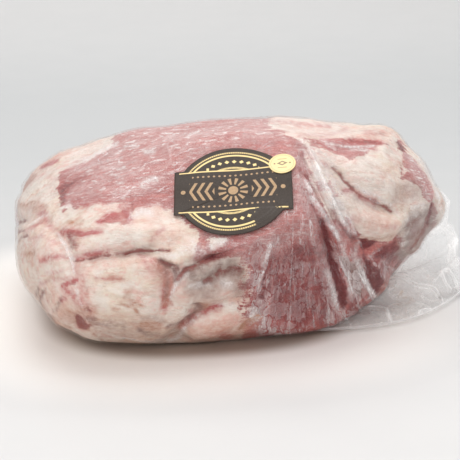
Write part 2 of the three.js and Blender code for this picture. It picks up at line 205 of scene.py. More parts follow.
# %% The lumps and hollows of both sides
SHOWN_PADS = [   # place, reach and rise; a hollow has a rise below zero
    ((-74, -45), (40, 24), 5), ((-71, 3), (38, 10), 2.5), ((-122, -22), (18, 28), 1.5),
    ((-10, -61), (27, 9), 4), ((-19, -25), (12, 6), 1.6), ((-9, -40), (14, 7), 1.6),
    ((97, 2), (19, 9), 4.5), ((88, 38), (26, 14), 2), ((104, 62), (17, 8), 3.5),
    ((137, 6), (9, 18), 6), ((60, -62), (40, 9), 5), ((112, -26), (12, 12), -6.5),
    ((68, 72), (28, 9), -3.5), ((-34, -74), (9, 8), -4.5), ((-128, -44), (12, 18), -2.5),
]
FAR_PADS = [
    ((-74, -14), (34, 13), 4), ((-84, 28), (30, 12), 2.5), ((46, 4), (32, 12), 4),
    ((-20, -56), (30, 10), 3), ((66, -58), (28, 10), 3), ((110, -34), (16, 12), 2.5),
]
EDGE_ON, FACE_ON = 0.02, 0.3
FLOOR_FADE = 9
UNEVENNESS = 0.55
WAVE_ALONG, WAVE_ROUND = (9, 23), (8, 7)


def pad_height(spots, pad):
    """An oval lump with a soft rim."""
    place, reach, rise = pad
    offset = (spots - place) / reach
    return rise * np.exp(-(offset ** 2).sum(1) ** 1.5)


def relief(points, normals, fold_share=1.0):
    """How far the surface stands off the plain form, in millimetres."""
    x, y, z = points.T
    height = UNEVENNESS * (np.sin(x / WAVE_ALONG[0] + 2 * np.sin(y / WAVE_ALONG[1]))
                           + np.sin(y / WAVE_ROUND[0] + z / WAVE_ROUND[1]))
    for side, folds, pads in ((SHOWN, SHOWN_FOLDS, SHOWN_PADS), (FAR, FAR_FOLDS, FAR_PADS)):
        towards = normals @ side[0]
        facing = smooth(towards, EDGE_ON, FACE_ON)
        outline = smooth(towards, -FACE_ON, EDGE_ON)
        spots = on_sheet(points, side)
        height += fold_share * facing * sum(fold_height(spots, fold) for fold in folds)
        height += outline * sum(pad_height(spots, pad) for pad in pads)
    return height * smooth(z, 0, FLOOR_FADE)


# %% [markdown]
# ## The plain form
# Without folds the pack is a cushion: nearly a rounded rectangle from above, domed on top, drawn
# in below and pressed flat on the table. A squashed sphere would bunch its points at the poles.
# So a square grid is laid over the top and rows of wall hang from its edge down to the table,
# which keeps the cells even all over.

# %% The plain form of the pack
HALF_LENGTH, HALF_DEPTH = 134, 93
RISE, DROP, SINK = 58, 80, 13.5
PLAN_POWER, CROWN_POWER, BELLY_POWER = 3.5, 1.8, 2.55
NARROWING, SWELL = -0.25, 0.105
LEAN, SETBACK, BOW = 0.264, -0.1, 15
BADGE_MIDDLE = np.array([-8.8, -67.9, 102.4])
BADGE_OUT = np.array([-0.198, -0.485, 0.852]) / np.linalg.norm([-0.198, -0.485, 0.852])
SEAT_RADIUS, SEAT_FADE, SEAT_FLATNESS, SEAT_DEPTH = 34, 78, 0.88, (16, 34)
CROWN_CELLS = (200, 136)
WALL_ROWS = 90
FOOT_RINGS = 12
WALL_START, WALL_END = math.pi / 4, -math.atan(1.22)


def seated(points):
    """The film round the badge is drawn towards the badge's plane."""
    offset = points - BADGE_MIDDLE
    above = offset @ BADGE_OUT
    away = np.linalg.norm(offset - above[:, None] * BADGE_OUT, axis=1)
    share = (1 - smooth(away, SEAT_RADIUS, SEAT_FADE)) * (1 - smooth(-above, *SEAT_DEPTH))
    return points - (above * share * SEAT_FLATNESS)[:, None] * BADGE_OUT


def pack_points(u, v, steepness):
    """Points in the directions u and v, each as far up or down the side as its steepness says."""
    spread = np.maximum((np.abs(u) ** PLAN_POWER + np.abs(v) ** PLAN_POWER) ** (1 / PLAN_POWER), 1e-9)
    power = np.where(steepness > 0, CROWN_POWER, BELLY_POWER)
    scale = (1 + np.abs(steepness) ** power) ** (-1 / power)
    x, y, level = scale * u / spread, scale * v / spread, scale * steepness
    height = level * np.where(level > 0, RISE, DROP) * (1 + SWELL * x)
    return seated(np.stack([
        x * HALF_LENGTH + LEAN * height,
        y * HALF_DEPTH * (1 + NARROWING * x) + SETBACK * height + BOW * x * x,
        np.maximum(0, height + DROP - SINK)], -1))


def pack_grid():
    """The points and four-sided faces of the plain form, its rows of foot last."""
    columns, lanes = CROWN_CELLS
    spacing = [np.tan((2 * np.arange(cells + 1) / cells - 1) * math.pi / 4) for cells in CROWN_CELLS]
    u, v = (grid.ravel() for grid in np.meshgrid(*spacing, indexing="ij"))
    points = [pack_points(u, v, 1 / np.maximum(np.maximum(np.abs(u), np.abs(v)), 1e-6))]
    crown = np.arange(len(u)).reshape(columns + 1, lanes + 1)
    quads = [np.stack([crown[:-1, :-1], crown[1:, :-1], crown[1:, 1:], crown[:-1, 1:]], -1).reshape(-1, 4)]
    above = np.concatenate([crown[:-1, 0], crown[-1, :-1], crown[:0:-1, -1], crown[0, :0:-1]])
    edge_u, edge_v, count = u[above], v[above], len(u)
    for row in range(1, WALL_ROWS + 1):
        steepness = math.tan(WALL_START + (WALL_END - WALL_START) * row / WALL_ROWS)
        points.append(pack_points(edge_u, edge_v, np.full(len(edge_u), steepness)))
        below = count + np.arange(len(edge_u))
        quads.append(np.stack([above, below, np.roll(below, -1), np.roll(above, -1)], -1))
        above, count = below, count + len(edge_u)
    return np.concatenate(points), quads, above


def normals_of(points, quads):
    """The way out of the surface at each point, averaged over the faces round it."""
    corners = points[quads]
    across = np.cross(corners[:, 2] - corners[:, 0], corners[:, 3] - corners[:, 1])
    total = np.zeros_like(points)
    for k in range(4):
        np.add.at(total, quads[:, k], across)
    return total / np.maximum(np.linalg.norm(total, axis=1), 1e-12)[:, None]


plain, wall_quads, foot = pack_grid()
plain_quads = np.concatenate(wall_quads)
plain_normals = normals_of(plain, plain_quads)
print(len(plain), "points,", len(plain_quads), "faces")

# %% [markdown]
# ## Where the fat lies
# The shown side has a map of its own: the left end and the lower left are fat, a band of lean
# runs along the top, the right has a big cream triangle of fat with a lump under it, and the
# lower right is dark lean under frost plates. A picture can't be used for this, so each patch is
# an outline on the sheet, and its edge is roughened by noise. The far side wears the same map
# mirrored and bent, so that both ends match.

# %% Outlines of fat and lean, in the order they are painted
FAT, LEAN_MEAT = 1.0, 0.0
GROUND = [   # how fat it is, how wide its edge is, and its outline
    (FAT, 3.0, [(0, 270), (8, 220), (20, 180), (45, 150), (80, 130), (112, 124), (112, 144), (90, 157),
                (72, 165), (57, 172), (56, 186), (60, 203), (78, 205), (100, 203), (118, 200), (128, 206),
                (134, 207), (158, 206), (176, 214), (188, 226), (203, 237), (194, 246), (197, 257),
                (206, 262), (230, 258), (240, 262), (237, 272), (244, 280), (240, 292), (246, 300),
                (250, 310), (258, 318), (244, 330), (240, 362), (60, 362), (18, 310)]),
    (0.4, 5.0, [(230, 264), (250, 258), (255, 300), (264, 318), (246, 330), (237, 326), (236, 296)]),
    (0.4, 3.4, [(63, 230), (76, 229), (100, 230), (90, 236), (81, 240), (79, 249), (71, 252), (68, 243)]),
    (0.05, 2.2, [(97, 221), (110, 213), (120, 212), (127, 204), (134, 202), (132, 216), (127, 225),
                 (118, 223)]),
    (0.25, 1.4, [(61, 207), (67, 208), (66, 212), (60, 212)]),
    (0.3, 1.6, [(61, 286), (67, 281), (75, 282), (74, 286), (66, 287)]),
    (0.45, 1.8, [(63, 296), (66, 291), (72, 290), (76, 295), (74, 300), (69, 299)]),
    (0.6, 2.4, [(135, 327), (139, 319), (152, 318), (167, 324), (163, 332), (150, 337), (140, 333)]),
    (0.2, 2.2, [(199, 232), (210, 233), (211, 247), (204, 252), (197, 247)]),
    (0.95, 2.4, [(208, 238), (225, 236), (224, 246), (213, 249)]),
    (FAT, 4.5, [(262, 100), (300, 104), (350, 112), (396, 118), (420, 146), (405, 142), (396, 139),
                (382, 141), (352, 136), (318, 136), (300, 136), (285, 131), (272, 126)]),
    (0.7, 5.0, [(302, 137), (322, 150), (340, 156), (352, 170), (352, 205), (345, 225), (332, 215),
                (322, 205), (316, 190), (308, 170)]),
    (0.8, 3.0, [(330, 200), (345, 196), (352, 206), (348, 216), (338, 212)]),
    (FAT, 2.4, [(322, 148), (345, 156), (358, 156), (367, 150), (380, 144), (398, 140), (404, 152),
                (404, 164), (400, 176), (412, 181), (422, 190), (430, 203), (428, 216), (412, 222),
                (400, 236), (388, 241), (364, 241), (357, 229), (347, 216), (341, 205), (352, 198),
                (345, 184), (333, 168)]),
    (LEAN_MEAT, 1.2, [(409, 156), (417, 160), (426, 170), (433, 184), (438, 200), (430, 197),
                      (423, 188), (419, 180), (421, 176), (412, 168)]),
    (0.95, 1.6, [(405, 146), (415, 158), (423, 168), (430, 182), (435, 196), (438, 206), (438, 222),
                 (434, 238), (480, 240), (480, 140)]),
    (0.6, 2.6, [(404, 208), (420, 200), (432, 205), (433, 222), (426, 238), (411, 252), (401, 245),
                (403, 226)]),
    (0.1, 1.4, [(396, 138), (402, 139), (406, 150), (401, 150)]),
    (0.35, 1.6, [(403, 162), (411, 161), (413, 168), (406, 178), (402, 174)]),
    (0.3, 2.0, [(320, 182), (330, 180), (336, 188), (328, 192), (320, 190)]),
    (0.3, 2.0, [(331, 192), (343, 193), (344, 198), (334, 198)]),
]

# Softer colours are laid over it. A strength over 1 stays solid where the noise breaks up others.
SHADES = {   # for each shade: how strong it is, how wide its edge is, and its outline
    "pink": [   # a flush of red in the fat
        (0.5, 4.0, [(73, 262), (110, 257), (150, 252), (160, 262), (150, 270), (110, 265), (80, 272)]),
        (0.45, 5.0, [(78, 270), (92, 268), (94, 318), (84, 322), (78, 300)]),
        (0.6, 4.0, [(140, 258), (152, 256), (170, 268), (172, 300), (164, 310), (156, 290), (146, 276)]),
        (0.55, 4.0, [(170, 286), (190, 291), (206, 290), (236, 274), (246, 300), (220, 305), (206, 310),
                     (196, 306), (176, 302)]),
        (0.7, 4.0, [(186, 328), (220, 314), (250, 318), (262, 320), (244, 344), (186, 344)]),
        (0.4, 6.0, [(24, 222), (52, 214), (70, 256), (40, 268), (24, 250)]),
        (0.5, 5.0, [(36, 292), (60, 282), (84, 290), (92, 316), (70, 326), (46, 314)]),
        (0.5, 4.0, [(108, 202), (160, 204), (170, 214), (150, 228), (120, 228)]),
        (0.45, 4.0, [(152, 226), (178, 222), (202, 240), (190, 250), (150, 240)]),
        (0.5, 5.0, [(352, 214), (380, 208), (404, 224), (396, 236), (372, 232)]),
        (0.4, 6.0, [(386, 184), (404, 176), (420, 184), (424, 200), (400, 206)]),
        (0.5, 4.0, [(280, 120), (350, 124), (396, 130), (380, 138), (330, 134), (280, 130)]),
        (0.4, 4.0, [(12, 200), (42, 200), (50, 224), (20, 230)]),
        (0.5, 4.0, [(20, 178), (44, 156), (76, 142), (110, 134), (96, 144), (60, 158), (34, 178)]),
    ],
    "grey": [   # painted shade in the folds and at the right end, over dull grey-brown meat
        (0.85, 4.0, [(184, 268), (198, 266), (212, 264), (226, 258), (240, 256), (238, 268), (226, 271),
                     (220, 277), (214, 287), (200, 291), (188, 288)]),
        (0.6, 5.0, [(186, 286), (206, 288), (222, 283), (230, 292), (214, 302), (196, 304), (190, 298)]),
        (0.16, 7.0, [(345, 156), (367, 150), (398, 142), (403, 172), (384, 190), (356, 184)]),
        (0.3, 6.0, [(344, 202), (360, 206), (372, 214), (362, 226), (350, 214)]),
        (0.5, 6.0, [(390, 183), (420, 180), (424, 198), (408, 206), (392, 206)]),
        (0.9, 3.5, [(410, 214), (424, 207), (437, 204), (438, 226), (430, 246), (402, 270), (396, 254),
                    (402, 236)]),
        (0.6, 4.0, [(206, 282), (222, 272), (244, 271), (249, 284), (242, 300), (228, 291), (210, 294)]),
    ],
    "brown": [   # painted shade in the folds, brownish red
        (0.55, 2.2, [(163, 262), (174, 266), (180, 270), (178, 282), (171, 280), (170, 272)]),
        (1.0, 2.4, [(186, 272), (196, 262), (206, 259), (216, 260), (206, 267), (194, 272)]),
        (0.6, 2.0, [(219, 270), (226, 269), (224, 284), (218, 286)]),
        (0.9, 1.8, [(191, 303), (198, 302), (205, 307), (202, 314), (197, 319), (190, 326), (183, 330),
                    (180, 329), (187, 320), (194, 311), (195, 307)]),
        (0.5, 2.0, [(166, 326), (180, 324), (180, 331), (168, 330)]),
        (0.4, 2.2, [(352, 190), (362, 192), (376, 200), (388, 206), (398, 213), (388, 213), (372, 206),
                    (356, 200)]),
        (0.8, 1.8, [(344, 258), (352, 264), (357, 270), (362, 282), (365, 294), (361, 301), (354, 290),
                    (347, 276)]),
        (0.45, 4.0, [(410, 218), (424, 212), (428, 226), (420, 236), (408, 238)]),
        (0.2, 4.0, [(40, 290), (52, 294), (50, 316), (42, 308)]),
        (0.16, 6.0, [(92, 322), (136, 318), (140, 336), (100, 340)]),
    ],
    "tan": [   # tan fat, and painted shade in the wide patches along the bottom and lower rim
        (0.6, 2.2, [(154, 258), (170, 264), (175, 280), (171, 306), (164, 311), (163, 288), (156, 272)]),
        (0.55, 5.0, [(60, 310), (96, 308), (104, 322), (100, 340), (70, 330), (50, 318)]),
        (0.3, 3.5, [(184, 328), (246, 326), (264, 318), (246, 346), (184, 346)]),
        (0.4, 6.0, [(96, 316), (184, 318), (184, 350), (98, 348)]),
        (0.35, 5.0, [(20, 248), (34, 250), (36, 300), (30, 308)]),
        (0.25, 2.5, [(436, 236), (420, 262), (398, 280), (384, 300), (378, 296), (392, 270), (412, 250),
                     (426, 232)]),
        (0.5, 1.5, [(123, 289), (136, 287), (134, 300), (124, 300)]),
        (0.45, 1.5, [(16, 206), (36, 200), (40, 208), (20, 210)]),
        (0.4, 2.5, [(66, 216), (84, 216), (84, 226), (66, 226)]),
        (0.3, 8.0, [(352, 207), (392, 212), (396, 238), (360, 240)]),
        (0.8, 2.2, [(137, 324), (150, 320), (166, 325), (162, 332), (150, 336), (139, 333)]),
    ],
    "blood": [   # lean that shows through
        (0.95, 2.4, [(152, 258), (166, 262), (175, 278), (170, 306), (163, 310), (161, 284)]),
        (0.85, 1.2, [(409, 156), (417, 160), (426, 170), (433, 184), (438, 200), (430, 197), (423, 188),
                     (419, 180), (421, 176), (412, 168)]),
        (0.75, 2.0, [(318, 136), (334, 139), (350, 142), (376, 145), (374, 149), (350, 147), (336, 149),
                     (324, 143)]),
        (0.6, 1.4, [(349, 150), (368, 149), (360, 154), (354, 154)]),
        (0.55, 3.0, [(246, 322), (262, 318), (302, 312), (312, 330), (280, 342), (246, 344)]),
        (0.55, 2.4, [(226, 239), (250, 236), (252, 248), (228, 251), (206, 258), (204, 252)]),
        (0.35, 4.0, [(134, 196), (176, 196), (176, 206), (136, 208)]),
        (0.35, 4.0, [(298, 200), (318, 202), (324, 228), (300, 228)]),
        (1.3, 1.5, [(75, 318), (81, 315), (85, 323), (91, 329), (74, 330), (78, 324)]),
    ],
    "dark": [   # old blood in wide creases and dark lean, with painted shade in the creases
        (0.5, 3.0, [(411, 216), (426, 214), (428, 236), (420, 248), (408, 250), (408, 232)]),
        (0.45, 3.4, [(62, 230), (76, 229), (88, 232), (78, 240), (80, 249), (71, 252), (68, 243)]),
        (0.6, 2.0, [(60, 182), (66, 177), (72, 182), (65, 192), (66, 200), (60, 203), (58, 192)]),
        (0.4, 2.0, [(64, 176), (84, 171), (86, 175), (74, 184), (66, 190), (64, 184)]),
        (1.0, 1.2, [(77, 321), (81, 318), (83, 324), (88, 328), (77, 328)]),
        (0.7, 2.4, [(196, 262), (206, 257), (220, 254), (236, 251), (234, 256), (212, 262)]),
        (0.95, 1.0, [(322, 220), (327, 221), (334, 246), (339, 268), (346, 288), (350, 308), (343, 311),
                     (338, 302), (334, 280), (330, 256), (326, 238)]),
        (1.0, 1.2, [(364, 258), (371, 262), (380, 270), (385, 282), (384, 292), (379, 298), (373, 290),
                    (367, 276)]),
        (0.95, 1.5, [(360, 241), (380, 240), (374, 249), (366, 252), (361, 250)]),
        (0.7, 2.0, [(384, 246), (398, 239), (401, 246), (398, 258), (392, 268), (386, 262), (378, 262),
                    (374, 256)]),
        (0.8, 1.4, [(267, 286), (268, 290), (263, 302), (257, 305), (260, 296)]),
        (0.6, 6.0, [(268, 256), (322, 236), (332, 262), (334, 320), (300, 332), (268, 318)]),
        (0.5, 3.0, [(348, 296), (362, 296), (364, 312), (350, 318)]),
    ],
    "plates": [   # ice in plates under the film
        (1.0, 5.0, [(252, 270), (280, 264), (340, 258), (362, 262), (392, 262), (380, 306), (340, 328),
                    (262, 342), (250, 318)]),
        (0.55, 6.0, [(246, 258), (262, 240), (300, 236), (340, 240), (362, 262), (340, 280), (250, 280)]),
        (0.6, 6.0, [(296, 142), (340, 160), (356, 236), (320, 236), (300, 200)]),
    ],
    "frosty": [   # haze under the film
        (0.8, 9.0, [(60, 150), (130, 110), (400, 100), (330, 150), (300, 140), (230, 146), (180, 168),
                    (130, 204), (64, 204)]),
        (1.0, 5.0, [(112, 130), (180, 122), (260, 118), (300, 120), (296, 134), (240, 136), (190, 142),
                    (150, 152), (120, 150)]),
        (0.55, 8.0, [(10, 170), (60, 150), (60, 230), (150, 215), (200, 240), (190, 260), (60, 262),
                     (10, 250)]),
        (0.5, 9.0, [(130, 170), (180, 150), (300, 136), (330, 220), (300, 250), (240, 262), (200, 236),
                    (150, 212)]),
        (0.25, 9.0, [(20, 250), (200, 250), (240, 300), (160, 345), (60, 335)]),
        (1.0, 5.0, [(298, 136), (322, 146), (340, 176), (354, 204), (350, 236), (334, 214), (320, 196),
                    (304, 166)]),
        (1.0, 4.0, [(402, 150), (416, 150), (440, 190), (442, 226), (424, 256), (402, 256), (404, 210),
                    (426, 200), (412, 172)]),
        (0.6, 7.0, [(300, 140), (400, 140), (430, 200), (390, 240), (350, 240), (320, 200)]),
    ],
}
print(len(GROUND), "patches of fat or lean,", sum(map(len, SHADES.values())), "of other shades")

# %% [markdown]
# ## Lines on the meat
# Creases hold dark blood, and their darkness is partly painted shade; the film over them is
# pleated. Both are long and thin, so they are strokes: a route, a width and a strength, and for a
# crease how much deeper the meat goes there.

# %% Creases, veins and frost strokes
CREASES = [   # how dark it is (blood and painted shade), how wide, how deep the meat goes, and its route
    (0.75, 1.2, 1.4, [(73, 261), (82, 259), (90, 257)]),
    (0.85, 1.5, 1.8, [(88, 258), (98, 255.5), (109, 254)]),
    (0.6, 1.7, 1.6, [(107, 255), (116, 253), (126, 252)]),
    (0.95, 1.5, 2.2, [(124, 253), (132, 250.5), (142, 249), (156, 248.5), (169, 249)]),
    (0.7, 1.7, 2.0, [(162, 262), (168, 266), (177, 269)]),
    (1.0, 1.6, 2.4, [(178, 281), (186, 272), (196, 267), (204, 262), (213, 258)]),
    (0.85, 1.7, 1.8, [(206, 284), (216, 279), (221, 273), (234, 271), (241, 272)]),
    (0.55, 1.5, 1.2, [(222, 270), (222, 280), (219, 286)]),
    (0.4, 1.4, 2.4, [(180, 330), (188, 322.5), (196, 317), (204, 314.5), (214, 311.5), (222, 310)]),
    (0.5, 1.3, 1.0, [(222, 310), (230, 307), (240, 302)]),
    (0.8, 1.3, 1.6, [(271, 262), (268, 272), (264, 286), (260, 300)]),
    (0.6, 1.6, 1.2, [(273, 272), (271, 284), (268, 296)]),
    (0.6, 1.6, 1.4, [(302, 152), (314, 176), (325, 198), (338, 222)]),
    (1.0, 2.4, 2.6, [(324, 222), (331, 250), (336, 275), (341, 294), (345, 309)]),
    (0.6, 1.5, 1.2, [(303, 170), (309, 178), (316, 190), (319, 200)]),
    (0.65, 1.4, 1.2, [(313, 203), (318, 213), (322, 224)]),
    (0.7, 1.4, 1.0, [(335, 210), (340, 221), (347, 232), (353, 238)]),
    (0.85, 1.3, 1.4, [(334, 165), (340.5, 171), (347, 180), (354, 188)]),
    (0.8, 1.4, 1.5, [(353, 188), (362, 194), (374, 200), (386, 206), (394, 212)]),
    (0.95, 1.2, 1.6, [(435, 204), (433, 214), (430.5, 226)]),
    (0.6, 1.4, 0.8, [(350, 137), (362, 139), (381, 141.5)]),
    (0.55, 1.4, 0.8, [(352, 222), (357, 230), (360, 240)]),
    (0.55, 1.4, 1.0, [(361, 241), (366, 256), (364, 264)]),
    (0.8, 1.3, 1.4, [(13, 227), (17, 222), (23, 220)]),
    (0.7, 1.3, 1.2, [(12, 237), (16, 231), (20, 230)]),
    (0.7, 1.3, 1.2, [(16, 242), (18, 237), (24, 235)]),
    (0.35, 1.4, 0.6, [(22, 228), (32, 224), (42, 220)]),
    (0.6, 1.2, 0.6, [(132, 196), (133, 212)]),
    (0.45, 1.6, 0.8, [(37, 306), (40, 297), (44, 289)]),
    (0.4, 1.5, 0.8, [(31, 300), (33, 294), (34, 286)]),
    (0.6, 1.3, 0.8, [(82, 318), (90, 321), (94, 322)]),
    (0.5, 1.4, 0.8, [(87, 308), (89, 315)]),
    (0.35, 1.4, 0.6, [(128, 252), (142, 244), (156, 232)]),
    (0.45, 1.4, 0.6, [(57, 228), (64, 236), (70, 248)]),
    (0.5, 1.2, 0.7, [(402, 164), (404, 172), (403, 178), (409, 176)]),
    (0.7, 1.4, 1.0, [(329, 304), (333, 312), (340, 321)]),
    (0.6, 1.4, 0.8, [(354, 298), (360, 311)]),
]
